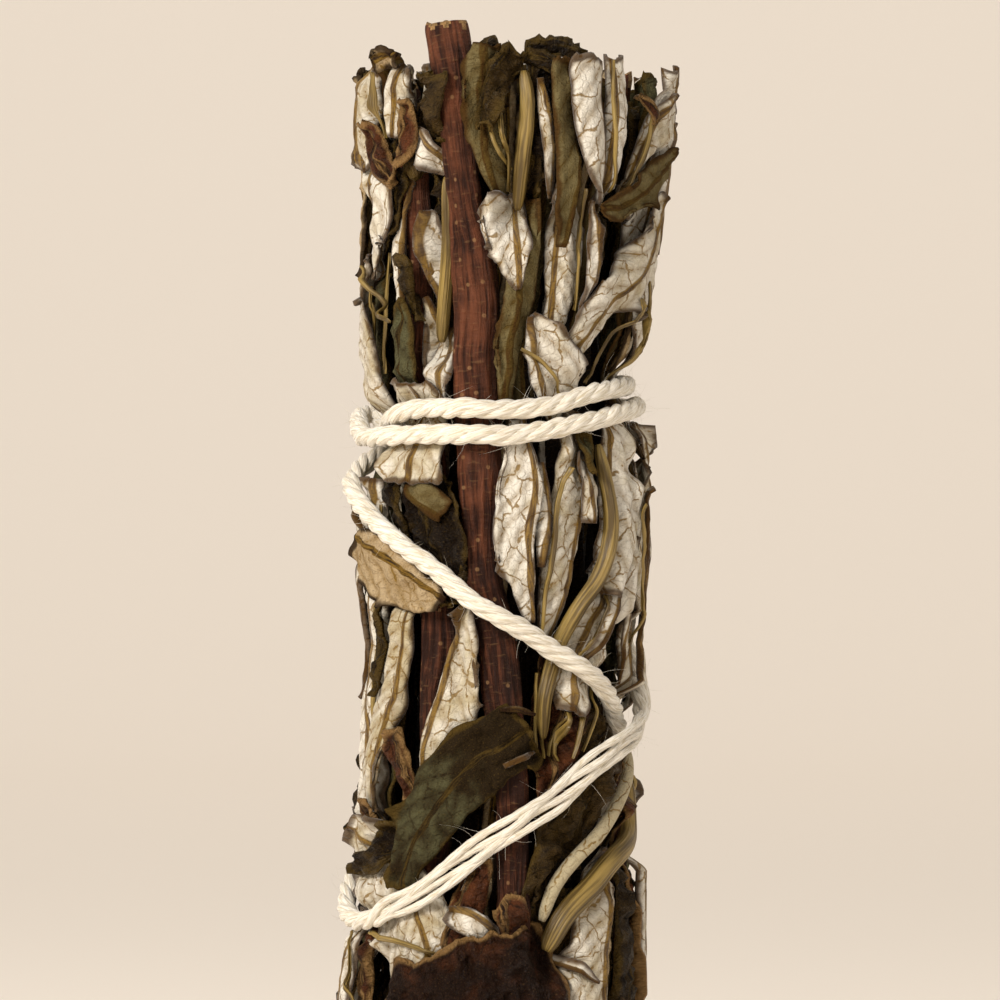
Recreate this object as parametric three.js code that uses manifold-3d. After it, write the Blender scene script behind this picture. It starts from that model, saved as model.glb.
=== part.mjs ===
// Smudge stick: dried leaves pressed lengthwise round woody stems, cut square at both ends and bound with one
// length of cotton twine. Millimetres, +Z up, standing on its cut end, with the thick stem towards -Y.
import * as THREE from "three";
import { mergeVertices } from "three/addons/utils/BufferGeometryUtils.js";
import Module from "manifold-3d";

const wasm = await Module();
wasm.setup();

// Driving dimensions.
const TWINE_DIAMETER = 1.85;
const BLADE_THICKNESS = 0.65;
const CLEARANCE = 0.1;
const CORE_RADIUS = 8.7;
const CORE_TOP = 98;
const BULGE = 0.45;

// Radius of the packed leaves by height, drawn in where the twine is pulled tight.
const GIRTH = [
  [0, 13],
  [8, 13.1],
  [16, 13.3],
  [22, 12.7],
  [29, 12.3],
  [37, 12.7],
  [48, 11.9],
  [56, 12.8],
  [62, 12.9],
  [68, 12.4],
  [73, 12.2],
  [79, 12.8],
  [86, 13.1],
  [94, 14],
  [104, 13.9],
];

// The bundle's middle line wanders a little: its place along X by height.
const MIDDLE = [
  [0, -2],
  [16, -1.9],
  [28, -1.1],
  [36, -0.2],
  [60, 0],
  [74, -0.6],
  [84, 0.5],
  [94, 1],
  [104, 1],
];

// Where the middle of the whole stick lies in the frame of the lists below.
const STICK_MIDDLE = [-0.13, -0.05];

// Stems: [name, colour, path]. A path point is [x, z, depth of the middle below the girth, radius], x and z as seen
// from the front.
const STEMS = [
  ["stem_thick", "bark", [[-5.3, 104, 1.2, 2.1], [-4.6, 98.5, 1.2, 1.95], [-4.3, 94.5, 1.2, 1.6],
    [-3.6, 88, 1.1, 1.5], [-2.9, 83, 1.2, 1.9], [-2.55, 77, 1.3, 2.05], [-2.3, 67, 1.4, 2.15], [-2.1, 60, 1.4, 2],
    [-1.9, 54, 1.2, 1.7], [-0.8, 49, 1.3, 1.85], [-0.2, 43, 1.3, 1.85], [0.5, 37, 1.2, 1.5], [0.6, 28, 1.3, 1.5],
    [0.6, 16, 1.7, 1.55], [0.7, 0, 1.8, 1.7]]],
  ["stem_second", "bark", [[-8.5, 97, 2.4, 1.3], [-8.1, 88, 2.2, 1.4], [-7.7, 79, 2.4, 1.3], [-6.6, 64, 2.7, 1.5],
    [-5.9, 50, 2.1, 1.6], [-6.2, 41, 2.2, 1.6], [-6.8, 28, 2.7, 1.5], [-7.2, 14, 2.8, 1.5], [-7.4, 0, 2.9, 1.6]]],
  ["stem_right", "bark", [[10.4, 36, 2.6, 0.9], [10.5, 26, 1.1, 0.95], [10.3, 16, 1.2, 1], [10.2, 0, 1.4, 1.1]]],
];

// Young stalks, and a leaf rolled up as thin as one, that lie over the leaves, in the same form.
const STALKS = [
  ["stalk_slim", "stalk", [[-5.2, 90, 1, 0.6], [-5, 84.4, 0.8, 0.7], [-5.7, 77, 1.1, 0.65]]],
  ["stalk_red", "stalk", [[1.7, 99.4, 1.2, 0.6], [2, 96.6, 0.9, 0.65], [1.6, 92, 0.9, 0.7], [1.1, 88.6, 1.2, 0.6]]],
  ["stalk_curved", "stalk", [[8.4, 66, 0.9, 0.6], [9.5, 60.5, 0.1, 0.7], [9.4, 57, 0, 0.75], [8.4, 54, 0, 0.75],
    [6.4, 51, 0.5, 0.75], [4.6, 47.4, 1.5, 0.7], [3.6, 43.5, 0.9, 0.7], [3.4, 41, 1.1, 0.6]]],
  ["leaf_rolled", "pale", [[11.7, 38.5, 1.4, 0.6], [10.4, 34.1, 0.6, 0.65], [8.6, 31.1, 0.3, 0.7],
    [6.2, 28.6, 0.3, 0.7], [4.4, 26.2, 0.5, 0.65], [3.3, 23.2, 1, 0.6]]],
  ["stalk_tan", "stalk", [[12, 35.5, 1.2, 0.8], [11.2, 31.1, 0.5, 0.9], [9.6, 28.4, 0.2, 1], [7.6, 26, 0.2, 1.05],
    [5.4, 23.7, 0.3, 1.05], [3.7, 20.5, 0.9, 1]]],
];

// Leaves, inner ones first: [name, colour, half width, path, options]. A path point is [x, z] seen from the front.
// sunk is how far the leaf lies below the girth, fold the slope away from the midrib and bend the further turn
// towards the margin in degrees; start, end and peak shape the outline, and wave is the rise of the margin.
const LEAVES = [
  // Left of the thick stem, from the top.
  ["leaf_dark_top", "dark", 2.7, [[-6.6, 99.2], [-7.6, 95.2], [-9.2, 90.5]], { sunk: 1.4, start: 0.8 }],
  ["leaf_pale_04", "pale", 2.6, [[-12.4, 92.5], [-11.3, 88], [-11.7, 84.8], [-12, 81]],
    { sunk: 0.3, fold: 16 }],
  ["leaf_pale_03", "pale", 2.9, [[-12.2, 83], [-12.8, 79], [-12.6, 75], [-12.2, 70], [-12.4, 64]],
    { sunk: 0.5, fold: 12 }],
  ["leaf_pale_small", "pale", 1.6, [[-6.3, 76.5], [-6.2, 73], [-6.3, 69]], { sunk: 0.5, fold: 16 }],
  ["leaf_green_small", "green", 2, [[-8.8, 79.2], [-9.2, 75.9], [-9.3, 72.5], [-9.1, 67]],
    { sunk: 0.1, start: 0.1 }],
  ["leaf_pale_01", "pale", 2.6, [[-11.6, 100.4], [-12.5, 97.5], [-12.7, 94.8], [-12, 91]],
    { sunk: -0.2, fold: 22, start: 0.7 }],
  ["leaf_pale_02", "pale", 2.1, [[-9.4, 100], [-9.7, 97], [-10, 93.6]],
    { sunk: -0.2, fold: 20, start: 0.7 }],
  ["leaf_brown_top", "brown", 1.8, [[-11.6, 95], [-11, 91.6], [-9.4, 89.2]],
    { sunk: -0.1, fold: 10, end: 0.2 }],
  ["leaf_dark_01", "dark", 3.2, [[-9.6, 64.5], [-7, 60], [-5.6, 55.4], [-4.9, 51.5]],
    { sunk: 1.6, wave: 0.4 }],
  ["leaf_pale_06", "pale", 3.9, [[-8.3, 71.5], [-8.4, 67], [-8.5, 62.6]],
    { sunk: 0.4, fold: 2, end: 0.85, wave: 0.35 }],
  ["leaf_pale_edge", "pale", 3, [[-12.4, 63], [-12.2, 52], [-12.2, 42], [-12.8, 30]],
    { sunk: 0.6, fold: 12 }],
  ["leaf_pale_07", "pale", 2.7, [[-9.3, 54.5], [-9.7, 47.5], [-10.5, 43], [-11.7, 38], [-12.3, 30.5]],
    { sunk: 0.2, fold: 18 }],
  ["leaf_tan_01", "tan", 2.5, [[-12.9, 57], [-10.8, 54.5], [-8.4, 53], [-5.6, 51.6]],
    { sunk: -0.2, fold: 4, tilt: 8 }],
  ["leaf_pale_08", "pale", 2.7, [[-3.6, 53], [-4, 47], [-4.7, 43], [-6.2, 39], [-7.8, 34.5]],
    { sunk: 0.6, start: 0.2 }],
  ["leaf_pale_09", "pale", 4.6, [[-13, 31], [-10.8, 26.4], [-8.5, 21], [-7.6, 14], [-7.4, 7]],
    { sunk: 0.5, fold: 3 }],
  ["leaf_brown_04", "brown", 2, [[-1.8, 29], [-3.5, 24.5], [-5.6, 19]], { sunk: 0.1, wave: 0.2 }],
  ["leaf_pale_11", "pale", 2.8, [[-13.4, 24], [-14.2, 19], [-14.6, 14], [-14.2, 6], [-14, 0]],
    { sunk: -0.6, fold: 9, end: 0.8 }],
  // Right of the thick stem, from the top.
  ["leaf_olive_01", "olive", 2, [[-1.6, 102], [-1.9, 97.9], [-1.3, 92.5], [-0.3, 87.5]],
    { sunk: 0.5, fold: 20, start: 0.8 }],
  ["leaf_dark_03", "dark", 2.2, [[3.9, 100.6], [3.5, 96.1], [3, 91.6], [1.9, 86]],
    { sunk: 0.5, fold: 20, start: 0.9 }],
  ["leaf_pale_14", "pale", 2.6, [[6.4, 91], [6.2, 84.4], [5.5, 79.4], [4.4, 74.5]],
    { sunk: 0.6, fold: 18, start: 0.6 }],
  ["leaf_olive_02", "olive", 1.6, [[5, 100.2], [5.5, 95.2], [5.7, 89.8], [5, 83.6]],
    { sunk: 0.1, fold: 16, start: 0.8 }],
  ["leaf_pale_16", "pale", 1.9, [[10.5, 101], [10.7, 96.1], [10.3, 92.5], [9.5, 88]],
    { sunk: 0.2, fold: 22, start: 0.9 }],
  ["leaf_pale_20", "pale", 3, [[13.8, 90], [12.9, 82], [12.1, 74], [12.2, 66]], { sunk: 0.5, fold: 14 }],
  ["leaf_pale_17", "pale", 2.6, [[14.8, 97], [13.9, 93.4], [12.6, 90.2], [11, 86.5]],
    { sunk: -0.1, fold: 18, start: 0.7 }],
  ["leaf_olive_03", "olive", 1.9, [[2.5, 88], [2.1, 83.5], [1.3, 79], [0.6, 75], [0, 69.5]],
    { sunk: 0.4, fold: 16 }],
  ["leaf_pale_18", "pale", 3, [[14, 88.6], [12.2, 82.4], [9.7, 79.1], [7.2, 75.5], [5.6, 72]],
    { sunk: 0.2, fold: 12 }],
  ["leaf_pale_19", "pale", 2.9, [[2.4, 77.6], [3.6, 74.9], [4.8, 72], [5.6, 66.5]],
    { sunk: 0, start: 0.15, peak: 0.55 }],
  ["leaf_pale_15", "pale", 2.2, [[7.5, 100.5], [7.6, 95.2], [8.1, 91.6], [8.5, 87.6]],
    { sunk: -0.3, start: 0.95, peak: 0.1, end: 0.15 }],
  ["leaf_dark_02", "dark", 1.7, [[1.6, 101.4], [0, 99.2], [-1.1, 97], [-1.7, 94]],
    { sunk: -0.4, fold: 14, start: 0.9 }],
  ["leaf_pale_13", "pale", 2.4, [[0, 88.4], [0, 85.8], [0.6, 83], [1.1, 79.8]],
    { sunk: -0.3, start: 0.6, peak: 0.3, end: 0.15 }],
  ["leaf_olive_04", "olive", 1.9, [[14.7, 92.4], [12.5, 89.2], [10.2, 87.4], [8.3, 87]],
    { sunk: -0.4, fold: 12 }],
  ["leaf_dark_05", "dark", 3.8, [[10.4, 42], [8.2, 36.7], [6.4, 31], [3.9, 25], [3.2, 21]], { sunk: 1.3 }],
  ["leaf_brown_06", "brown", 3.2, [[6.6, 49], [6, 43], [5.1, 39], [3.9, 33.5]], { sunk: 0.9, fold: 16 }],
  ["leaf_pale_25", "pale", 2.8, [[12.2, 68], [12.6, 57], [12, 47], [11.6, 36]], { sunk: 0.5, fold: 14 }],
  ["leaf_pale_22", "pale", 2.5, [[6.6, 69], [6.3, 61], [5.8, 57.4], [5.1, 52.9], [4, 47]],
    { sunk: 0.6, fold: 14 }],
  ["leaf_pale_24", "pale", 3.2, [[11.6, 58], [10.4, 53.4], [8, 48.5], [5.9, 42]], { sunk: 0.3, fold: 14 }],
  ["leaf_pale_23", "pale", 2.8, [[10.4, 69.5], [10.9, 61.9], [10.5, 57.4], [9.3, 52.5]],
    { sunk: 0.1, fold: 14 }],
  ["leaf_pale_21", "pale", 2.4, [[1.1, 68.5], [1.3, 61.9], [0.9, 57.4], [1.5, 53.8], [2.4, 50]],
    { sunk: 0.1, fold: 16, end: 0.15 }],
  ["leaf_pale_27", "pale", 2.6, [[9.8, 29.5], [8.7, 25], [7.7, 20.9], [7.4, 12], [7.6, 4]],
    { sunk: 0.6, fold: 14 }],
  ["leaf_dark_06", "dark", 3, [[7, 26], [6.5, 20], [5.6, 10], [5.4, 0]],
    { sunk: 0.7, end: 0.8, wave: 0.4 }],
  // Over the thick stem.
  ["leaf_green_big", "green", 3.7, [[2.1, 40.6], [0, 39.2], [-3.1, 37.1], [-5.8, 34], [-8.1, 29.9],
    [-9.4, 26]], { sunk: -0.4, fold: 2, start: 0.85 }],
  ["leaf_brown_05", "brown", 1.7, [[0.2, 25.8], [0.8, 23.6], [1.1, 20.8]],
    { sunk: 0.7, fold: 8, start: 0.1, end: 0.8 }],
  ["leaf_brown_big", "brown", 9.2, [[-3.9, 22.6], [-2.6, 15], [-1.9, 7], [-2.2, 0]],
    { sunk: -0.5, fold: 1, bend: 8, start: 0.8, peak: 0.3, end: 0.9, wave: 0.3 }],
];

// Sprigs closing the back, by a rule: from each stem leaves spring by turns to either side, each leading up to the
// next one's root. Heights are where a leaf starts and ends.
const SPRIG_ANGLES = [124, 180, 236];
const SPRIG_HEIGHTS = [[0, 35], [0, 46], [33, 68], [43, 81], [66, 99], [79, 99]];
const SPRIG_LEAF = { half: 4.9, spread: 15 };

// The twine's route, [angle, height, how far its middle lies over the girth], each full turn adding 360: two turns
// high up, down across the front, round the back, up across the front and back to the knot. Angle 0 faces -Y and
// 90 faces +X. A turn that another crosses is pulled deeper.
const TWINE_ROUTE = [
  [212, 71, 0.5], [232, 70, 0.3], [252, 68.2, -0.9], [270, 66.9, -1.9], [284, 66.8, -2.1], [299, 68, -0.9],
  [315, 68.8, 0.2], [327, 69.2, 0.3], [350, 69.2, 0.3], [363, 69.1, 0.3], [382, 69.5, 0.3], [393, 70.2, 0.2],
  [406, 70.7, 0], [423, 71.1, -0.4], [450, 71.4, -0.7], [490, 71.4, -0.5], [540, 70.6, 0], [590, 69.2, 0.3],
  [615, 68.3, 0.3], [630, 67.4, 0.3], [647, 66.7, 0.3], [675, 66.8, 0.3], [708, 66.9, 0.3], [723, 66.8, 0.3],
  [742, 67.4, 0.3], [753, 67.9, 0.3], [765, 68.3, 0.2], [781, 68.9, 0.1], [810, 69.5, 0], [850, 69.2, 0.1],
  [900, 68.2, 0.1], [945, 66.4, -0.4], [972, 64.4, 0.4], [990, 62.6, 1], [1004, 60.9, 0.8], [1020, 58.9, 0.4],
  [1035, 56.9, 0.3], [1049, 55.2, 0.3], [1068, 52, 0.3], [1078, 50.6, 0.3], [1091, 48.9, 0.3], [1101, 47.5, 0.3],
  [1113, 46.1, 0.3], [1124, 44.8, 0], [1140, 42.8, -1.1], [1153, 41.7, -1.9], [1170, 40.3, -2.1], [1200, 38, -1],
  [1260, 33, 0.2], [1310, 28.6, 0.3], [1335, 26.6, 0.4], [1348, 25, 0.5], [1360, 23.6, 0.5], [1372, 23, 0.4],
  [1385, 23.2, 0.3], [1395, 24.1, 0.3], [1407, 25.4, 0.3], [1417, 26.9, 0.3], [1426, 28.3, 0.3], [1444, 31.3, 0.3],
  [1453, 33, 0.3], [1462, 34.3, 0.3], [1471, 35.8, 0.3], [1483, 37.5, 0.3], [1498, 39.2, 0.3], [1515, 40.4, 0.3],
  [1527, 41.8, 0.3], [1536, 43.6, 0.3], [1548, 46.2, 0.3], [1570, 50.8, 0.3], [1600, 57.5, 0.3],
  [1630, 65, 0.3], [1652, 69.6, 0.5],
];
const TWINE_STATION = 4.8;
const KNOT = { angle: 212, height: 70.3, proud: 0.8, across: 2.3, up: 1.9, out: 1.7 };
const TAILS = [
  [[212, 70.4], [206, 66], [203, 60], [205, 56]],
  [[212, 70.4], [219, 66.5], [224, 62.5], [223, 59.5]],
];

const COLOURS = {
  bark: { color: 0x54332a, roughness: 0.75 },
  stalk: { color: 0x8c7440, roughness: 0.55 },
  pale: { color: 0xc4bdab, roughness: 0.95 },
  green: { color: 0x494a36, roughness: 0.8 },
  olive: { color: 0x6d5f35, roughness: 0.75 },
  dark: { color: 0x33291f, roughness: 0.8 },
  brown: { color: 0x4a3226, roughness: 0.8 },
  tan: { color: 0x9c8163, roughness: 0.9 },
  twine: { color: 0xe9dfca, roughness: 0.95 },
};

const radians = (degrees) => (degrees * Math.PI) / 180;
const degrees = (angle) => (angle * 180) / Math.PI;
const count = (n) => [...Array(n).keys()];

function read(table, z) {
  const last = table.length - 1;
  const h = Math.min(table[last][0], Math.max(table[0][0], z));
  const i = Math.min(last - 1, table.findLastIndex(([level]) => level <= h));
  const [z0, v0] = table[i];
  const [z1, v1] = table[i + 1];
  return v0 + ((v1 - v0) * (h - z0)) / (z1 - z0);
}

const girth = (z) => read(GIRTH, z);
const middle = (z) => read(MIDDLE, z);

// A point on the bundle from its angle in degrees, its height and its distance from the middle line.
function place(angle, z, r) {
  const a = radians(angle);
  return new THREE.Vector3(middle(z) + r * Math.sin(a) - STICK_MIDDLE[0], -r * Math.cos(a) - STICK_MIDDLE[1], z);
}

// The angle at which something at distance r from the middle line is seen at x from the front.
function angleOf(x, z, r) {
  return degrees(Math.asin(Math.min(1, Math.max(-1, (x - middle(z)) / r))));
}

// Catmull-Rom through rows of numbers, resampled to rows evenly spaced along the bundle's surface.
function resample(points, rows) {
  const at = (i) => points[Math.min(points.length - 1, Math.max(0, i))];
  const fine = [];
  const perSpan = 24;
  for (let i = 0; i < points.length - 1; i++)
    for (let k = 0; k < perSpan + (i === points.length - 2); k++) {
      const t = k / perSpan;
      fine.push(
        at(i).map((p1, c) => {
          const [p0, p2, p3] = [at(i - 1)[c], at(i + 1)[c], at(i + 2)[c]];
          const square = 2 * p1 + (p2 - p0) * t + (2 * p0 - 5 * p1 + 4 * p2 - p3) * t * t;
          return (square + (3 * p1 - p0 - 3 * p2 + p3) * t ** 3) / 2;
        }),
      );
    }
  const run = [0];
  for (let i = 1; i < fine.length; i++) {
    const across = radians(fine[i][0] - fine[i - 1][0]) * girth(fine[i][1]);
    run.push(run[i - 1] + Math.hypot(across, fine[i][1] - fine[i - 1][1]));
  }
  const total = run[run.length - 1];
  const number = typeof rows === "function" ? rows(total) : rows;
  let j = 0;
  return count(number).map((k) => {
    const goal = (total * k) / (number - 1);
    while (j < run.length - 2 && run[j + 1] < goal) j++;
    const f = (goal - run[j]) / (run[j + 1] - run[j]);
    return fine[j].map((v, c) => v + (fine[j + 1][c] - v) * f);
  });
}

// How far out the pieces laid so far reach, by angle and height.
const MAP_ANGLES = 144;
const MAP_HEIGHTS = 176;
const MAP_STEP = 0.6;
const column = (angle) => ((Math.round((angle * MAP_ANGLES) / 360) % MAP_ANGLES) + MAP_ANGLES) % MAP_ANGLES;
const row = (z) => Math.min(MAP_HEIGHTS - 1, Math.max(0, Math.round(z / MAP_STEP)));
const cell = (angle, z) => column(angle) * MAP_HEIGHTS + row(z);
const reach = new Float64Array(MAP_ANGLES * MAP_HEIGHTS).fill(CORE_RADIUS);

function mark(angle, z, r) {
  reach[cell(angle, z)] = Math.max(reach[cell(angle, z)], r);
}

function most(map, angle, z, spread = 1) {
  let found = -Infinity;
  for (let i = -spread; i <= spread; i++)
    for (let j = -spread; j <= spread; j++)
      found = Math.max(found, map[cell(angle + (i * 360) / MAP_ANGLES, z + j * MAP_STEP)]);
  return found;
}

// A closed mesh as a solid, its points merged within a thousandth of a millimetre, and back, its points moved onto a
// grid if one is given.
function solidOf(geometry) {
  geometry.deleteAttribute("normal");
  geometry.deleteAttribute("uv");
  const merged = mergeVertices(geometry, 1e-3);
  return new wasm.Manifold(
    new wasm.Mesh({
      numProp: 3,
      vertProperties: new Float32Array(merged.attributes.position.array),
      triVerts: new Uint32Array(merged.index.array),
    }),
  );
}

function geometryOf(solid, grid = 0) {
  const mesh = solid.getMesh();
  const geometry = new THREE.BufferGeometry();
  const points = Float32Array.from(mesh.vertProperties, (v) => (grid ? Math.round(v / grid) * grid : v));
  geometry.setAttribute("position", new THREE.BufferAttribute(points, 3));
  geometry.setIndex(new THREE.BufferAttribute(new Uint32Array(mesh.triVerts), 1));
  geometry.computeVertexNormals();
  return geometry;
}

// A solid from closed rings of points, capped at both ends by a fan round the ring's middle.
function loft(rings) {
  const sides = rings[0].length;
  const points = rings.flat();
  const faces = [];
  for (let j = 0; j < rings.length - 1; j++)
    for (let i = 0; i < sides; i++) {
      const [a, b] = [j * sides + i, j * sides + ((i + 1) % sides)];
      faces.push([a, b, b + sides], [a, b + sides, a + sides]);
    }
  [0, rings.length - 1].forEach((j, top) => {
    points.push(rings[j].reduce((sum, p) => sum.add(p), new THREE.Vector3()).divideScalar(sides));
    for (let i = 0; i < sides; i++) {
      const [a, b] = [j * sides + i, j * sides + ((i + 1) % sides)];
      faces.push(top ? [a, b, points.length - 1] : [b, a, points.length - 1]);
    }
  });
  const geometry = new THREE.BufferGeometry().setFromPoints(points);
  geometry.setIndex(faces.flat());
  const solid = solidOf(geometry);
  if (solid.volume() > 0) return solid;
  geometry.setIndex(faces.map(([a, b, c]) => [a, c, b]).flat());
  return solidOf(geometry);
}

// A ring of points round the middle line of a rod at station j, square to it, or level at a height given as flat.
function rodRing(middles, j, radius, sides, flat = null) {
  const ahead = middles[Math.min(middles.length - 1, j + 1)].clone().sub(middles[Math.max(0, j - 1)]).normalize();
  const out = new THREE.Vector3(middles[j].x, middles[j].y, 0).normalize();
  const side = ahead.clone().cross(out).normalize();
  const up = side.clone().cross(ahead);
  return count(sides).map((i) => {
    const turn = (2 * Math.PI * (i + 0.5)) / sides;
    const p = middles[j].clone();
    p.addScaledVector(side, radius * Math.cos(turn)).addScaledVector(up, radius * Math.sin(turn));
    if (flat !== null) p.z = flat;
    return p;
  });
}

// A woody stem along its path, cut level at both ends, grown by extra millimetres all round.
const STEM_SIDES = 10;
const STEM_STATION = 6.5;
const stemPath = ([, , path]) =>
  path.map(([x, z, depth, radius]) => [angleOf(x, z, girth(z) - depth), z, girth(z) - depth, radius]);

function stemSolid(path, extra = 0) {
  const line = resample(path, (total) => Math.max(4, Math.round(total / STEM_STATION)));
  const middles = line.map(([angle, z, r]) => place(angle, z, r));
  const last = line.length - 1;
  return loft(
    line.map(([, z, , radius], j) => {
      const knobbly = radius * (1 + 0.04 * Math.sin(j * 1.7)) + extra;
      const cut = j === 0 ? z + extra : j === last ? Math.max(0, z - extra) : null;
      return rodRing(middles, j, knobbly, STEM_SIDES, cut);
    }),
  );
}

function markStem(path) {
  for (const [angle, z, r, radius] of resample(path, 260))
    for (let k = -5; k <= 5; k++) {
      const off = (k / 5) * radius;
      mark(angle + degrees(off / r), z, r + Math.sqrt(radius ** 2 - off ** 2));
    }
}

// The share of the half width that a leaf has at v, from 0 at its start to 1 at its end.
function outline(v, { start = 0.4, end = 0.35, peak = 0.42 }) {
  const t = v < peak ? v / peak : (1 - v) / (1 - peak);
  const least = v < peak ? start : end;
  return least + (1 - least) * Math.sin((Math.PI / 2) * t) ** 0.8;
}

// The cross-section of a blade: from the midrib to the margin its slope grows from fold to fold + bend. Gives the
// distance across the surface and the height over it, for the share u of the half width.
function section(u, half, { fold = 10, bend = 16, tilt = 0 }) {
  const steps = 8;
  let [across, rise] = [0, 0];
  for (const k of count(steps)) {
    const slope = radians(-fold - (bend * Math.abs(u) * (k + 0.5)) / steps);
    across += (Math.cos(slope) * Math.abs(u) * half) / steps;
    rise += (Math.sin(slope) * Math.abs(u) * half) / steps;
  }
  const side = Math.sign(u);
  return { across: side * across, rise: rise + Math.tan(radians(tilt)) * side * across };
}

// The outer face of a leaf, {angle, z, r, along} on a grid across and along it, lifted over what lies under
// it. The lift is eased, because a dry blade bridges small hollows.
const ACROSS = 13;
const ALONG = 41;
function leafFace({ half, path, options }) {
  const { sunk = 0, wave = 0 } = options;
  const centre = resample(path, ALONG);
  const face = centre.map(([angle, z], j) => {
    const [before, after] = [centre[Math.max(0, j - 1)], centre[Math.min(ALONG - 1, j + 1)]];
    const r = girth(z) - sunk;
    const [ds, dz] = [radians(after[0] - before[0]) * r, after[1] - before[1]];
    const run = Math.hypot(ds, dz);
    const width = half * outline(j / (ALONG - 1), options) * (1 + 0.07 * Math.sin(j * 0.55 + half * 9));
    return count(ACROSS).map((i) => {
      const u = (2 * i) / (ACROSS - 1) - 1;
      const { across, rise } = section(u, width, options);
      return {
        angle: angle - degrees((across * dz) / run / r),
        z: z + (across * ds) / run,
        r: r + rise + wave * u * u * Math.sin(j * 0.9 + 2 * i),
        along: [ds / run, dz / run],
      };
    });
  });
  const lift = face.map((line) =>
    line.map((p) => Math.max(0, most(reach, p.angle, p.z) + BLADE_THICKNESS + CLEARANCE - p.r)),
  );
  const around = (field, j, i) => {
    const found = [];
    for (let b = -1; b <= 1; b++)
      for (let a = -1; a <= 1; a++)
        found.push(field[Math.min(ALONG - 1, Math.max(0, j + b))][Math.min(ACROSS - 1, Math.max(0, i + a))]);
    return found;
  };
  const widest = lift.map((line, j) => line.map((_, i) => Math.max(...around(lift, j, i))));
  const eased = widest.map((line, j) => line.map((_, i) => around(widest, j, i).reduce((a, b) => a + b) / 9));
  face.forEach((line, j) => line.forEach((p, i) => (p.r += Math.max(lift[j][i], eased[j][i]))));
  return face;
}

function markLeaf(face) {
  const parts = 4;
  for (let j = 0; j < ALONG - 1; j++)
    for (let i = 0; i < ACROSS - 1; i++)
      for (let b = 0; b <= parts; b++)
        for (let a = 0; a <= parts; a++) {
          const mix = (key) =>
            (face[j][i][key] * (parts - a) * (parts - b) +
              face[j][i + 1][key] * a * (parts - b) +
              face[j + 1][i][key] * (parts - a) * b +
              face[j + 1][i + 1][key] * a * b) /
            parts ** 2;
          mark(mix("angle"), mix("z"), mix("r"));
        }
}

// A blade as a closed ring of points at each station: the outer face one way, the inner face back.
const LEAF_STATION = 5.8;
function leafSolid({ half, stride = half > 2.4 ? 2 : 3 }, face, extra = 0) {
  const length = face.reduce((sum, line, j) => {
    const [p, q] = [line[6], face[Math.max(0, j - 1)][6]];
    return sum + place(p.angle, p.z, p.r).distanceTo(place(q.angle, q.z, q.r));
  }, 0);
  const spans = Math.max(3, Math.round(length / LEAF_STATION));
  const depth = BLADE_THICKNESS + extra;
  return loft(
    count(spans + 1).map((k) => {
      const line = face[Math.round((k * (ALONG - 1)) / spans)].filter((_, i) => i % stride === 0);
      const past = k === 0 ? -extra : k === spans ? extra : 0;
      const at = (p, i, r, tuck) => {
        const [ds, dz] = p.along;
        const across = tuck + (i === 0 ? -extra : i === line.length - 1 ? extra : 0);
        const angle = p.angle + degrees((past * ds - across * dz) / p.r);
        return place(angle, Math.max(0, p.z + past * dz + across * ds), r);
      };
      const slope = (i) => {
        const [p, q] = [line[Math.max(0, i - 1)], line[Math.min(line.length - 1, i + 1)]];
        return Math.atan2(q.r - p.r, Math.hypot(radians(q.angle - p.angle) * p.r, q.z - p.z));
      };
      const outer = line.map((p, i) => at(p, i, p.r + extra, 0));
      const inner = line.map((p, i) => at(p, i, p.r - Math.cos(slope(i)) * depth, Math.sin(slope(i)) * depth));
      return [...outer, ...inner.reverse()];
    }),
  );
}

// The packed inner leaves: a column of deep pleats, each the edge of a folded leaf, uneven at the cut top, with the
// stem at the bundle's heart.
const PLEATS = 15;
const HEART = { x: 1.5, y: 0.6, radius: 2.1, top: 100.4 };
function innerLeaves() {
  const sides = PLEATS * 2;
  const levels = 6;
  const ring = (z, share, top) =>
    count(sides).map((i) => {
      const depth = i % 2 ? 0 : 1.7 + 0.5 * Math.sin(i * 2.3);
      const angle = (360 * i) / sides + 5 * Math.sin(i * 1.7 + z / 17);
      const p = place(angle, z, (CORE_RADIUS - depth) * share);
      p.z += top * (0.9 * Math.sin(i * 1.9) + 0.6 * (i % 2));
      return p;
    });
  const rings = count(levels).map((j) => ring((CORE_TOP * j) / (levels - 1), 1, j === levels - 1 ? 1 : 0));
  rings.push(ring(CORE_TOP, 0.6, 1.6), ring(CORE_TOP, 0.25, 1));
  const heart = [CORE_TOP - 4, HEART.top].map((z) =>
    count(STEM_SIDES).map((i) => {
      const turn = (2 * Math.PI * i) / STEM_SIDES;
      return new THREE.Vector3(HEART.x + HEART.radius * Math.cos(turn), HEART.y + HEART.radius * Math.sin(turn), z);
    }),
  );
  return loft(rings).add(loft(heart));
}

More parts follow.
